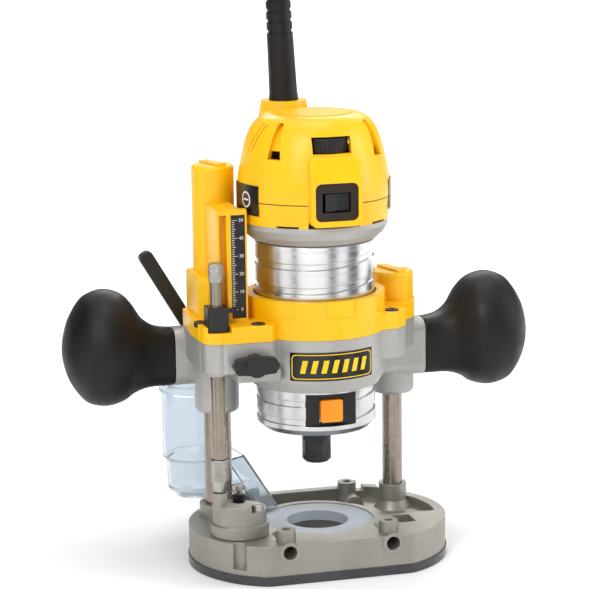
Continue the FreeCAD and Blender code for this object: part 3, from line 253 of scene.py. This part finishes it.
def clear_plastic():
    finish = Finish("clear_plastic", (0.80, 0.87, 0.93), 0.08)
    finish.rough(0.04, 0.14, 60)
    finish.bump(finish.noise(90, 2), 0.12 * MM)
    finish.set(Transmission_Weight=0.9, IOR=1.49)
    return finish.mat


def milky_plastic():
    """The pale ring in the base: the same plastic as the dust outlet, blasted to a haze."""
    finish = Finish("milky_plastic", (0.62, 0.68, 0.74), 0.34)
    finish.mottle((0.56, 0.62, 0.68), 50)
    finish.rough(0.28, 0.42, 90)
    finish.bump(finish.noise(500, 2), 0.02 * MM, 0.3 * MM)
    finish.set(Transmission_Weight=0.35, IOR=1.49)
    return finish.mat


def smoked_plastic():
    finish = Finish("smoked_plastic", (0.10, 0.10, 0.11), 0.12)
    finish.mottle((0.06, 0.06, 0.066), 40)
    finish.rough(0.08, 0.2, 80)
    finish.bump(finish.noise(300, 2), 0.03 * MM, 0.4 * MM)
    finish.set(Transmission_Weight=0.55, IOR=1.49)
    return finish.mat


def label_film():
    finish = Finish("label_film", (0.004, 0.004, 0.0045), 0.28)
    finish.mottle((0.007, 0.007, 0.0075), 120)
    finish.rough(0.24, 0.36, 200)
    finish.bump(finish.noise(700, 2), 0.008 * MM)
    return finish.mat


def brown_boot():
    finish = Finish("brown_boot", (0.020, 0.010, 0.006), 0.36)
    finish.mottle((0.030, 0.016, 0.009), 70)
    # painted highlight: the edges are lightened to a paler brown
    finish.worn((0.11, 0.06, 0.03), 0.6 * MM, 0.7)
    finish.bump(finish.noise(1600, 2), 0.015 * MM, 0.5 * MM)
    return finish.mat


def copper():
    finish = Finish("copper", (0.72, 0.33, 0.16), 0.35, 1.0)
    finish.mottle((0.60, 0.25, 0.11), 200)
    finish.bump(finish.rings(0.8 * MM), 0.1 * MM)
    return finish.mat


def ink(name, colour):
    """Printed marks: a flat ink with a little unevenness."""
    finish = Finish(name, colour, 0.5)
    finish.mottle(tuple(0.8 * c for c in colour), 900)
    finish.bump(finish.noise(2500, 2), 0.004 * MM)
    return finish.mat


MAKERS = {
    "yellow_plastic": yellow_plastic, "orange_plastic": orange_plastic, "black_plastic": black_plastic,
    "black_rubber": black_rubber, "cast_aluminium": cast_aluminium, "warm_casting": warm_casting,
    "turned_aluminium": turned_aluminium, "clear_plastic": clear_plastic, "smoked_plastic": smoked_plastic,
    "label_film": label_film, "brown_boot": brown_boot, "copper": copper,
    "bronzed_steel": steel("bronzed_steel", (0.33, 0.285, 0.23), (0.27, 0.235, 0.19), 0.24),
    "zinc_steel": steel("zinc_steel", (0.50, 0.485, 0.45), (0.38, 0.37, 0.34), 0.3),
    "dark_steel": steel("dark_steel", (0.05, 0.05, 0.053), (0.035, 0.035, 0.037), 0.4, 0.8),
    "bronze_bush": steel("bronze_bush", (0.55, 0.38, 0.18), (0.45, 0.30, 0.13), 0.35),
    "spring_steel": steel("spring_steel", (0.50, 0.50, 0.51), (0.42, 0.42, 0.43), 0.28),
    "carbon": steel("carbon", (0.02, 0.02, 0.02), (0.03, 0.03, 0.03), 0.6, 0.1),
}
finishes = {name: make() for name, make in MAKERS.items()}
white_ink = ink("white_ink", (0.78, 0.78, 0.76))
yellow_ink = ink("yellow_ink", (0.95, 0.60, 0.0))

for row in frame["record"]["subparts"]:
    for material_slot in nodes[row["node"]].material_slots:
        material_slot.material = finishes[row["material_slot"]]
for material_slot in nodes["template_ring"].material_slots:
    material_slot.material = milky_plastic()


# ======== mesh helpers ========

def piece(name, verts, faces, body, finish, smooth_below=35):
    """A mesh object riding on a body, with edges kept sharp above an angle in degrees."""
    mesh = bpy.data.meshes.new(name)
    mesh.from_pydata([tuple(v) for v in verts], [], faces)
    mesh.materials.append(finish)
    mesh.polygons.foreach_set("use_smooth", [True] * len(mesh.polygons))
    mesh.set_sharp_from_angle(angle=radians(smooth_below))
    obj = bpy.data.objects.new(name, mesh)
    bpy.context.collection.objects.link(obj)
    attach(obj, body)
    return obj


def loft(rings, close_ends=True):
    """Verts and faces of a skin over rings with equal numbers of points."""
    count = len(rings[0])
    verts = [point for ring in rings for point in ring]
    faces = []
    for k in range(len(rings) - 1):
        for j in range(count):
            a, b = k * count + j, k * count + (j + 1) % count
            faces.append((a, b, b + count, a + count))
    if close_ends:
        faces.append(tuple(reversed(range(count))))
        last = (len(rings) - 1) * count
        faces.append(tuple(range(last, last + count)))
    return verts, faces


def spline(points, share):
    """Catmull-Rom value at share 0..1 along a list of equally weighted points."""
    place = share * (len(points) - 1)
    k = min(int(place), len(points) - 2)
    t = place - k
    p = [points[max(0, min(len(points) - 1, k + j))] for j in (-1, 0, 1, 2)]
    return [0.5 * (2 * b + (c - a) * t + (2 * a - 5 * b + 4 * c - d) * t * t
                   + (3 * b - a - 3 * c + d) * t ** 3)
            for a, b, c, d in zip(*p)]


def smoothstep(t):
    t = max(0.0, min(1.0, t))
    return t * t * (3 - 2 * t)


# ======== side knobs ========

KNOB_SECTIONS = [(0, 134.0, 100.6), (7, 134.9, 100.5), (12.6, 136.9, 100.4), (18.7, 142.0, 99.4),
                 (24.7, 151.2, 97.0), (31, 157.0, 92.9), (40.6, 159.4, 90.8), (50, 156.6, 92.8),
                 (55, 152.0, 97.0), (60, 144.0, 104.5), (63, 136.0, 112.0),
                 (64.6, 129.0, 119.5)]        # distance from the joint, top, bottom
KNOB_NECK_SHARE, KNOB_DEPTH_SHARE = 0.62, 0.86  # depth against height, at the joint and in the bulb
KNOB_ROUND_FROM = 31                          # from this distance on a section is a plain oval
KNOB_NECK_SQUARE = 3.6                        # how square a section is at the joint; 2 is an oval
KNOB_STEPS, KNOB_AROUND = 64, 72


def squared(value, power):
    """A sine or cosine bent so that its curve has squarer corners."""
    return (abs(value) ** (2 / power)) * (1 if value >= 0 else -1)


def knob(side, name, node):
    """A pear-shaped grip: squarish at its neck, then oval out to a blunt round end."""
    low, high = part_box(node)
    joint = (low.x if side > 0 else high.x)
    centre_y = (low.y + high.y) / 2
    rings = []
    for k in range(KNOB_STEPS + 1):
        distance, top, bottom = spline(KNOB_SECTIONS, k / KNOB_STEPS)
        grown = smoothstep(distance / KNOB_ROUND_FROM)
        share = KNOB_NECK_SHARE + (KNOB_DEPTH_SHARE - KNOB_NECK_SHARE) * grown
        power = KNOB_NECK_SQUARE + (2 - KNOB_NECK_SQUARE) * grown
        tall = (top - bottom) / 2
        if k == 0:
            tall -= 0.7
        if k == KNOB_STEPS:
            tall *= 0.4
        ring = []
        for j in range(KNOB_AROUND):
            a = side * 2 * pi * j / KNOB_AROUND
            ring.append((joint + side * distance * MM, centre_y + tall * share * squared(cos(a), power) * MM,
                         ((top + bottom) / 2 + tall * squared(sin(a), power)) * MM))
        rings.append(ring)
    verts, faces = loft(rings)
    grip = piece(name, verts, faces, "carriage", finishes["black_rubber"], 60)
    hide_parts(node)


knob(1, "knob_cover_right", "grip_right")
knob(-1, "knob_cover_left", "grip_left")


# ======== knurled pieces ========

def knurled(name, centre, radius, z0, z1, count, depth, body, node, tail=()):
    """A round piece with a diamond knurl; tail lists (radius, z) rings below it."""
    rings = []
    around, pitch = count * 6, 2 * pi * radius / count
    steps = int((z1 - z0) / (pitch / 6))
    for r, z in tail:
        rings.append([(centre[0] + r * cos(2 * pi * j / around), centre[1] + r * sin(2 * pi * j / around), z)
                      for j in range(around)])
    for k in range(steps + 1):
        z = z0 + (z1 - z0) * k / steps
        edge = smoothstep(min(z - z0, z1 - z) / (0.9 * MM))
        ring = []
        for j in range(around):
            a = 2 * pi * j / around
            one = abs(((a * count / (2 * pi) + (z - z0) / pitch) % 1) * 2 - 1)
            two = abs(((a * count / (2 * pi) - (z - z0) / pitch) % 1) * 2 - 1)
            r = radius - depth * (1 - min(one, two)) * edge - 0.6 * MM * (1 - edge)
            ring.append((centre[0] + r * cos(a), centre[1] + r * sin(a), z))
        rings.append(ring)
    verts, faces = loft(rings)
    made = piece(name, verts, faces, body, finishes["zinc_steel"], 50)
    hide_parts(node)


low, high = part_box("rod_top_knob")
rod_centre = ((low.x + high.x) / 2, (low.y + high.y) / 2)
knurled("rod_knob_knurl", rod_centre, (high.x - low.x) / 2, low.z, high.z, 18, 0.6 * MM,
        "depth_rod", "rod_top_knob")
low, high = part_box("fine_adjuster")
adjuster_radius = (high.x - low.x) / 2
tip_radius = 4.0 * MM
tip_chamfer = 0.8 * MM
adjuster_foot = 56.0 * MM
knurled("fine_adjuster_knurl", rod_centre, adjuster_radius, adjuster_foot, high.z, 22, 0.65 * MM,
        "fine_adjuster", "fine_adjuster",
        [(tip_radius - tip_chamfer, low.z), (tip_radius, low.z + tip_chamfer),
         (tip_radius, adjuster_foot - 0.01 * MM)])


# ======== motor barrel ========

GROOVES = [87.6 * MM, 98.4 * MM, 163.7 * MM, 177.3 * MM]
GROOVE_RISE = 4.0 * MM        # each groove climbs by this from the front left to the front right
GROOVE_DEPTH = 0.8 * MM
GROOVE_HALF = 1.5 * MM
GROOVE_SLOPE = 0.45 * MM
BARREL_WALL, BARREL_FOOT = 3.0 * MM, 14 * MM
BARREL_CHAMFER, BARREL_RIM = 3.5 * MM, 0.4 * MM
BARREL_FACE = 8 * MM          # width of the flat ring under the barrel
BARREL_AROUND = 180


def groove_rise(degree):
    """How far a groove has climbed at an angle from +X, in degrees."""
    degree = (degree + 180) % 360 - 180
    if degree < 20:
        return GROOVE_RISE * smoothstep((degree + 110) / 90)
    return GROOVE_RISE * (1 - smoothstep((degree - 40) / 110))


def barrel():
    """Verts and faces of the turned tube, with its climbing grooves."""
    low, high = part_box("motor_barrel")
    radius = high.x
    foot_radius = radius - BARREL_CHAMFER - BARREL_FACE
    profile = [(foot_radius, low.z, 0), (radius - BARREL_CHAMFER, low.z, 0),
               (radius, low.z + BARREL_CHAMFER, 0)]
    for z in GROOVES:
        profile += [(radius, z - GROOVE_HALF - GROOVE_SLOPE, 1), (radius - GROOVE_DEPTH, z - GROOVE_HALF, 1),
                    (radius - GROOVE_DEPTH, z + GROOVE_HALF, 1), (radius, z + GROOVE_HALF + GROOVE_SLOPE, 1)]
    profile += [(radius, high.z - BARREL_RIM, 0), (radius - BARREL_RIM, high.z, 0),
                (radius - BARREL_WALL, high.z, 0), (radius - BARREL_WALL, low.z + BARREL_FOOT, 0),
                (foot_radius, low.z + BARREL_FOOT, 0)]
    verts = []
    for r, z, climbs in profile:
        for j in range(BARREL_AROUND):
            a = 2 * pi * j / BARREL_AROUND
            verts.append((r * cos(a), r * sin(a), z + (groove_rise(degrees(a)) if climbs else 0)))
    faces = []
    for k in range(len(profile)):
        above = (k + 1) % len(profile)
        for j in range(BARREL_AROUND):
            beside = (j + 1) % BARREL_AROUND
            faces.append((k * BARREL_AROUND + j, k * BARREL_AROUND + beside,
                          above * BARREL_AROUND + beside, above * BARREL_AROUND + j))
    return verts, faces


def boolean_cut(obj, low, high):
    """Cuts a block out of a mesh piece for good."""
    corners = [(x, y, z) for x in (low[0], high[0]) for y in (low[1], high[1]) for z in (low[2], high[2])]
    mesh = bpy.data.meshes.new("cutter")
    sides = [(0, 1, 3, 2), (4, 6, 7, 5), (0, 4, 5, 1), (2, 3, 7, 6), (0, 2, 6, 4), (1, 5, 7, 3)]
    mesh.from_pydata(corners, [], sides)
    cutter = bpy.data.objects.new("cutter", mesh)
    bpy.context.collection.objects.link(cutter)
    modifier = obj.modifiers.new("pocket", "BOOLEAN")
    modifier.operation = "DIFFERENCE"
    modifier.solver = "EXACT"
    modifier.object = cutter
    depsgraph = bpy.context.evaluated_depsgraph_get()
    cut_mesh = bpy.data.meshes.new_from_object(obj.evaluated_get(depsgraph))
    obj.modifiers.clear()
    obj.data = cut_mesh
    cut_mesh.set_sharp_from_angle(angle=radians(35))
    bpy.data.objects.remove(cutter)


verts, faces = barrel()
shell = piece("barrel_turned", verts, faces, "motor", finishes["turned_aluminium"])
panel_low, panel_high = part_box("lock_panel")
boolean_cut(shell, (panel_low.x, -0.06, panel_low.z), (panel_high.x, panel_high.y, panel_high.z))
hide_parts("motor_barrel")


# ======== springs ========

COIL_STEPS, COIL_AROUND = 20, 8   # sections in one turn, points round the wire


def coil(name, node, turns, wire, axis, body):
    """A coil between a CAD spring's two ends.

    An upright coil (axis 2) stands on its low end; one along Y (axis 1) stands on its high end.
    """
    low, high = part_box(node)
    upright = axis == 2
    centre = (low + high) / 2
    length = high[axis] - low[axis]
    across = 0 if upright else 2
    radius = (high[across] - low[across]) / 2 - wire
    steps = turns * COIL_STEPS
    rings = []
    for k in range(steps + 1):
        turn = 2 * pi * turns * k / steps
        along = low[axis] + wire + (length - 2 * wire) * k / steps
        ring = []
        for j in range(COIL_AROUND):
            b = 2 * pi * j / COIL_AROUND
            r = radius + wire * cos(b)
            if upright:
                ring.append((centre.x + r * cos(turn), centre.y + r * sin(turn), along + wire * sin(b)))
            else:
                ring.append((centre.x + r * cos(turn), along + wire * sin(b), centre.z + r * sin(turn)))
        rings.append(ring)
    verts, faces = loft(rings)
    if upright:
        faces = [tuple(reversed(face)) for face in faces]
    spring = piece(name, verts, faces, body, finishes["spring_steel"])
    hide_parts(node)
    anchor = centre.copy()
    anchor[axis] = low[axis] if upright else high[axis]
    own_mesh(spring)


coil("return_coil", "return_spring", 26, 0.8 * MM, 2, "base")
coil("button_coil", "button_spring", 4, 0.35 * MM, 1, "motor")


# ======== printed marks ========

def flat_marks(name, rects, y, body, finish, thick=0.06 * MM):
    """Thin raised rectangles (x0, x1, z0, z1) on a face that looks towards -Y."""
    verts, faces = [], []
    for x0, x1, z0, z1 in rects:
        n = len(verts)
        verts += [(x, y - d, z) for d in (0, thick) for x, z in ((x0, z0), (x1, z0), (x1, z1), (x0, z1))]
        faces += [(n, n + 3, n + 2, n + 1), (n + 4, n + 5, n + 6, n + 7), (n, n + 1, n + 5, n + 4),
                  (n + 1, n + 2, n + 6, n + 5), (n + 2, n + 3, n + 7, n + 6), (n + 3, n, n + 4, n + 7)]
    return piece(name, verts, faces, body, finish)


def digits(text, size, thick=0.05 * MM):
    """Mesh data of upright figures drawn in the XY plane, centred on the origin."""
    curve = bpy.data.curves.new("figure", "FONT")
    curve.body = text
    curve.size = size
    curve.extrude = thick / 2
    curve.align_x = "CENTER"
    curve.align_y = "CENTER"
    holder = bpy.data.objects.new("figure", curve)
    bpy.context.collection.objects.link(holder)
    depsgraph = bpy.context.evaluated_depsgraph_get()
    mesh = bpy.data.meshes.new_from_object(holder.evaluated_get(depsgraph))
    bpy.data.objects.remove(holder)
    return [v.co.copy() for v in mesh.vertices], [tuple(p.vertices) for p in mesh.polygons]


scale_low, scale_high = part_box("scale_plate")
SCALE_ZERO = 153.0 * MM
SCALE_PITCH = 1.02 * MM
TICK_LENGTHS = {10: 3.2 * MM, 5: 2.4 * MM, 1: 1.5 * MM}
TICK_INSET, TICK_HALF = 0.5 * MM, 0.13 * MM
FIGURE_SIZE, FIGURE_INSET, FIGURE_SUNK = 2.7 * MM, 2.3 * MM, 0.02 * MM
ticks = []
figure_verts, figure_faces = [], []
for millimetre in range(0, 51):
    z = SCALE_ZERO + millimetre * SCALE_PITCH
    length = TICK_LENGTHS[10 if millimetre % 10 == 0 else 5 if millimetre % 5 == 0 else 1]
    start = scale_low.x + TICK_INSET
    ticks.append((start, start + length, z - TICK_HALF, z + TICK_HALF))
    if millimetre % 10 == 0:
        verts, faces = digits(str(millimetre), FIGURE_SIZE)
        first = len(figure_verts)
        figure_verts += [(v.x + scale_high.x - FIGURE_INSET, scale_low.y - FIGURE_SUNK - v.z, v.y + z)
                         for v in verts]
        figure_faces += [tuple(first + k for k in face) for face in faces]
marks = flat_marks("scale_ticks", ticks, scale_low.y, "carriage", white_ink)
figures = piece("scale_figures", figure_verts, figure_faces, "carriage", white_ink)


def wrapped_strip(points_uv, radius, thick):
    """A thin closed solid over quads given as (angle, z) corner pairs on a cylinder."""
    verts, faces = [], []
    for quad in points_uv:
        n = len(verts)
        for r in (radius, radius + thick):
            verts += [(r * cos(a), r * sin(a), z) for a, z in quad]
        faces += [(n + 3, n + 2, n + 1, n), (n + 4, n + 5, n + 6, n + 7), (n, n + 1, n + 5, n + 4),
                  (n + 1, n + 2, n + 6, n + 5), (n + 2, n + 3, n + 7, n + 6), (n + 3, n, n + 4, n + 7)]
    return verts, faces


def rounded_frame(middle, half_angle, z0, z1, radius, inset, width, corner):
    """Quads of a thin rounded rectangle outline laid on a cylinder."""
    half = radius * half_angle - inset
    tall = (z1 - z0) / 2 - inset
    centre = (z0 + z1) / 2

    def outline(shrink):
        points = []
        r = corner - shrink
        for cx, cz, start in ((half - corner, tall - corner, 0), (-half + corner, tall - corner, 90),
                              (-half + corner, -tall + corner, 180), (half - corner, -tall + corner, 270)):
            for k in range(7):
                a = radians(start + 15 * k)
                points.append((cx + r * cos(a), cz + r * sin(a)))
        filled = []
        for k, (u, v) in enumerate(points):
            filled.append((u, v))
            u2, v2 = points[(k + 1) % len(points)]
            steps = int(hypot(u2 - u, v2 - v) / (2 * MM))
            filled += [(u + (u2 - u) * j / steps, v + (v2 - v) * j / steps) for j in range(1, steps)]
        return filled

    outer = outline(0)
    inner = [(u * (1 - width / half), v * (1 - width / tall)) for u, v in outer]
    place = [[(middle + u / radius, centre + v) for u, v in line] for line in (outer, inner)]
    count = len(outer)
    return [(place[0][k], place[0][(k + 1) % count], place[1][(k + 1) % count], place[1][k])
            for k in range(count)]


plate_low, plate_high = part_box("name_plate")
plate_radius = 40.4 * MM
plate_middle, plate_half = radians(-90), radians(36.5)
frame_quads = rounded_frame(plate_middle, plate_half, plate_low.z, plate_high.z, plate_radius,
                            1.0 * MM, 0.5 * MM, 2.4 * MM)
verts, faces = wrapped_strip(frame_quads, plate_radius, 0.12 * MM)
rim = piece("name_plate_frame", verts, faces, "carriage", yellow_ink)
slants = []
for k in range(-3, 4):
    start = plate_middle + k * 0.15
    slants.append(((start - 0.045, plate_low.z + 4.4 * MM), (start + 0.03, plate_low.z + 4.4 * MM),
                   (start + 0.075, plate_high.z - 4.4 * MM), (start, plate_high.z - 4.4 * MM)))
verts, faces = wrapped_strip(slants, plate_radius, 0.1 * MM)
bars = piece("name_plate_bars", verts, faces, "carriage", yellow_ink)


def lathe_strip(name, radius, z0, z1, skip, body, finish):
    """A thin band round the spindle axis, left open between two angles given in degrees."""
    start, end = skip
    count = 150
    angles = [radians(end + (start + 360 - end) * k / count) for k in range(count + 1)]
    quads = [((a, z0), (b, z0), (b, z1), (a, z1)) for a, b in zip(angles, angles[1:])]
    verts, faces = wrapped_strip(quads, radius, 0.12 * MM)
    return piece(name, verts, faces, body, finish)


band_low, band_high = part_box("cap_band")
seam_radius = band_high.x - 0.05 * MM
SEAM_HALF = 0.25 * MM
SEAM_GAP = (-109.5, -69.0)    # the switch's panel stands here, in degrees from +X
seam = lathe_strip("cap_seam_line", seam_radius, band_high.z - SEAM_HALF, band_high.z + SEAM_HALF, SEAM_GAP,
                   "motor", finishes["black_plastic"])


def label_sign(name, middle, radius, centre_z, size):
    """A generic round sign on a side label: a ring with a bar across it."""
    quads = []
    count = 36
    turns = [2 * pi * k / count for k in range(count + 1)]
    for a, b in zip(turns, turns[1:]):
        quads.append([(middle + r * cos(t) / radius, centre_z + r * sin(t))
                      for r, t in ((size, a), (size, b), (0.8 * size, b), (0.8 * size, a))])
    bar = 0.6 * size / radius
    quads.append([(middle - bar, centre_z - 0.1 * size), (middle + bar, centre_z - 0.1 * size),
                  (middle + bar, centre_z + 0.1 * size), (middle - bar, centre_z + 0.1 * size)])
    verts, faces = wrapped_strip(quads, radius, 0.08 * MM)
    return piece(name, verts, faces, "motor", white_ink)


label_low, label_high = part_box("side_labels")
label_centre = (label_low.z + label_high.z) / 2
for side, middle in (("left", radians(-165)), ("right", radians(-15))):
    sign = label_sign("label_sign_" + side, middle, label_high.x, label_centre, 4.6 * MM)


# ======== floor, lights and camera ========

def add_floor():
    mesh = bpy.data.meshes.new("floor")
    half = 20.0
    level = -0.0002
    mesh.from_pydata([(-half, -half, level), (half, -half, level), (half, half, level), (-half, half, level)],
                     [], [(0, 1, 2, 3)])
    finish = Finish("floor_glow", (0.86, 0.86, 0.86), 0.7)
    finish.mottle((0.84, 0.84, 0.84), 2)
    # Painted light: the floor glows white, faintly near the router and fully far off, as if lit into a white
    # backdrop.
    distance = finish.node("ShaderNodeVectorMath")
    distance.operation = "LENGTH"
    finish.link(finish.where, distance.inputs[0])
    finish.link(finish.ramp(distance.outputs["Value"], 0.25, 2.2, 0.06, 1.0),
                finish.shader.inputs["Emission Strength"])
    finish.set(Emission_Color=(1, 1, 1, 1))
    mesh.materials.append(finish.mat)
    floor = bpy.data.objects.new("floor", mesh)
    bpy.context.collection.objects.link(floor)


def add_light(name, place, target, size, power, colour=(1, 1, 1)):
    light = bpy.data.lights.new(name, "AREA")
    light.shape = "RECTANGLE"
    light.size, light.size_y = size
    light.energy = power
    light.color = colour
    lamp = bpy.data.objects.new(name, light)
    lamp.location = place
    lamp.rotation_euler = (Vector(target) - Vector(place)).to_track_quat("-Z", "Y").to_euler()
    bpy.context.collection.objects.link(lamp)


CARD_DISTANCE, CARD_TALL = 0.42, 0.6
CARDS = [(-112, 0.10), (-52, 0.035), (18, 0.05), (62, 0.10)]   # bearing from the front in degrees, half width
STUDIO_PANELS = [(0.0, 0.85), (0.09, 0.85), (0.13, 0.06), (0.20, 0.06), (0.25, 0.75), (0.33, 0.30),
                 (0.42, 0.08), (0.52, 0.70), (0.60, 0.10), (0.72, 0.45), (0.84, 0.05), (0.93, 0.80)]


def add_world():
    """Bright overhead, with upright light and dark panels round the horizon."""
    world = bpy.data.worlds.new("studio")
    world.use_nodes = True
    tree = world.node_tree
    background = tree.nodes["Background"]
    where = tree.nodes.new("ShaderNodeTexCoord")
    split = tree.nodes.new("ShaderNodeSeparateXYZ")
    tree.links.new(where.outputs["Generated"], split.inputs["Vector"])
    bearing = tree.nodes.new("ShaderNodeMath")
    bearing.operation = "ARCTAN2"
    tree.links.new(split.outputs["Y"], bearing.inputs[0])
    tree.links.new(split.outputs["X"], bearing.inputs[1])
    share = tree.nodes.new("ShaderNodeMapRange")
    share.inputs["From Min"].default_value = -pi
    share.inputs["From Max"].default_value = pi
    tree.links.new(bearing.outputs["Value"], share.inputs["Value"])
    panels = tree.nodes.new("ShaderNodeValToRGB")
    elements = panels.color_ramp.elements
    elements.remove(elements[1])
    elements[0].position = STUDIO_PANELS[0][0]
    elements[0].color = (*(STUDIO_PANELS[0][1],) * 3, 1)
    for place, value in STUDIO_PANELS[1:]:
        elements.new(place).color = (value, value, value, 1)
    tree.links.new(share.outputs["Result"], panels.inputs["Fac"])
    rise = tree.nodes.new("ShaderNodeMapRange")
    rise.inputs["From Min"].default_value = 0.25
    rise.inputs["From Max"].default_value = 0.75
    tree.links.new(split.outputs["Z"], rise.inputs["Value"])
    mix = tree.nodes.new("ShaderNodeMix")
    mix.data_type = "RGBA"
    mix.inputs["B"].default_value = (0.9, 0.9, 0.9, 1)
    tree.links.new(rise.outputs["Result"], mix.inputs["Factor"])
    tree.links.new(panels.outputs["Color"], mix.inputs["A"])
    tree.links.new(mix.outputs["Result"], background.inputs["Color"])
    background.inputs["Strength"].default_value = 0.75
    bpy.context.scene.world = world


def add_camera():
    azimuth, elevation, roll = radians(15.097), radians(11.267), radians(-0.79)
    forward = Vector((sin(azimuth) * cos(elevation), cos(azimuth) * cos(elevation), -sin(elevation)))
    right = Vector((cos(azimuth), -sin(azimuth), 0))
    up = right.cross(forward)
    turned_right = right * cos(roll) + up * sin(roll)
    turned_up = up * cos(roll) - right * sin(roll)
    camera = bpy.data.cameras.new("camera")
    camera.lens = 142.35
    camera.sensor_width = 36
    camera.clip_end = 100
    holder = bpy.data.objects.new("camera", camera)
    rotation = Matrix((turned_right, turned_up, -forward)).transposed().to_4x4()
    holder.matrix_world = Matrix.Translation((-0.3540, -1.2675, 0.4178)) @ rotation
    bpy.context.collection.objects.link(holder)
    bpy.context.scene.camera = holder


def add_cards():
    """Dark upright cards beside the router, seen only in its reflections, that give the barrel its bands."""
    paint = Finish("card_paint", (0.015, 0.015, 0.016), 0.9)
    paint.mottle((0.02, 0.02, 0.02), 5)
    for k, (bearing, half_width) in enumerate(CARDS):
        out = Vector((sin(radians(bearing)), -cos(radians(bearing)), 0))
        across = Vector((out.y, -out.x, 0))
        foot = out * CARD_DISTANCE
        corners = [foot - across * half_width, foot + across * half_width]
        mesh = bpy.data.meshes.new("card")
        mesh.from_pydata([*corners, *(corner + Vector((0, 0, CARD_TALL)) for corner in reversed(corners))],
                         [], [(0, 1, 2, 3)])
        mesh.materials.append(paint.mat)
        card = bpy.data.objects.new("card_%d" % k, mesh)
        card.visible_camera = False
        card.visible_diffuse = False
        card.visible_shadow = False
        bpy.context.collection.objects.link(card)


add_floor()
add_cards()
add_world()
middle = (0, 0, 0.15)
add_light("key", (-1.0, -1.3, 1.2), middle, (0.5, 1.0), 15)
add_light("side", (1.3, -0.5, 0.6), middle, (0.25, 1.2), 9)
add_light("back", (0.5, 1.5, 1.2), middle, (1.4, 0.6), 12)
add_light("top", (0, 0, 1.8), middle, (1.0, 1.0), 10)
add_camera()
bpy.context.scene.view_settings.view_transform = "Standard"
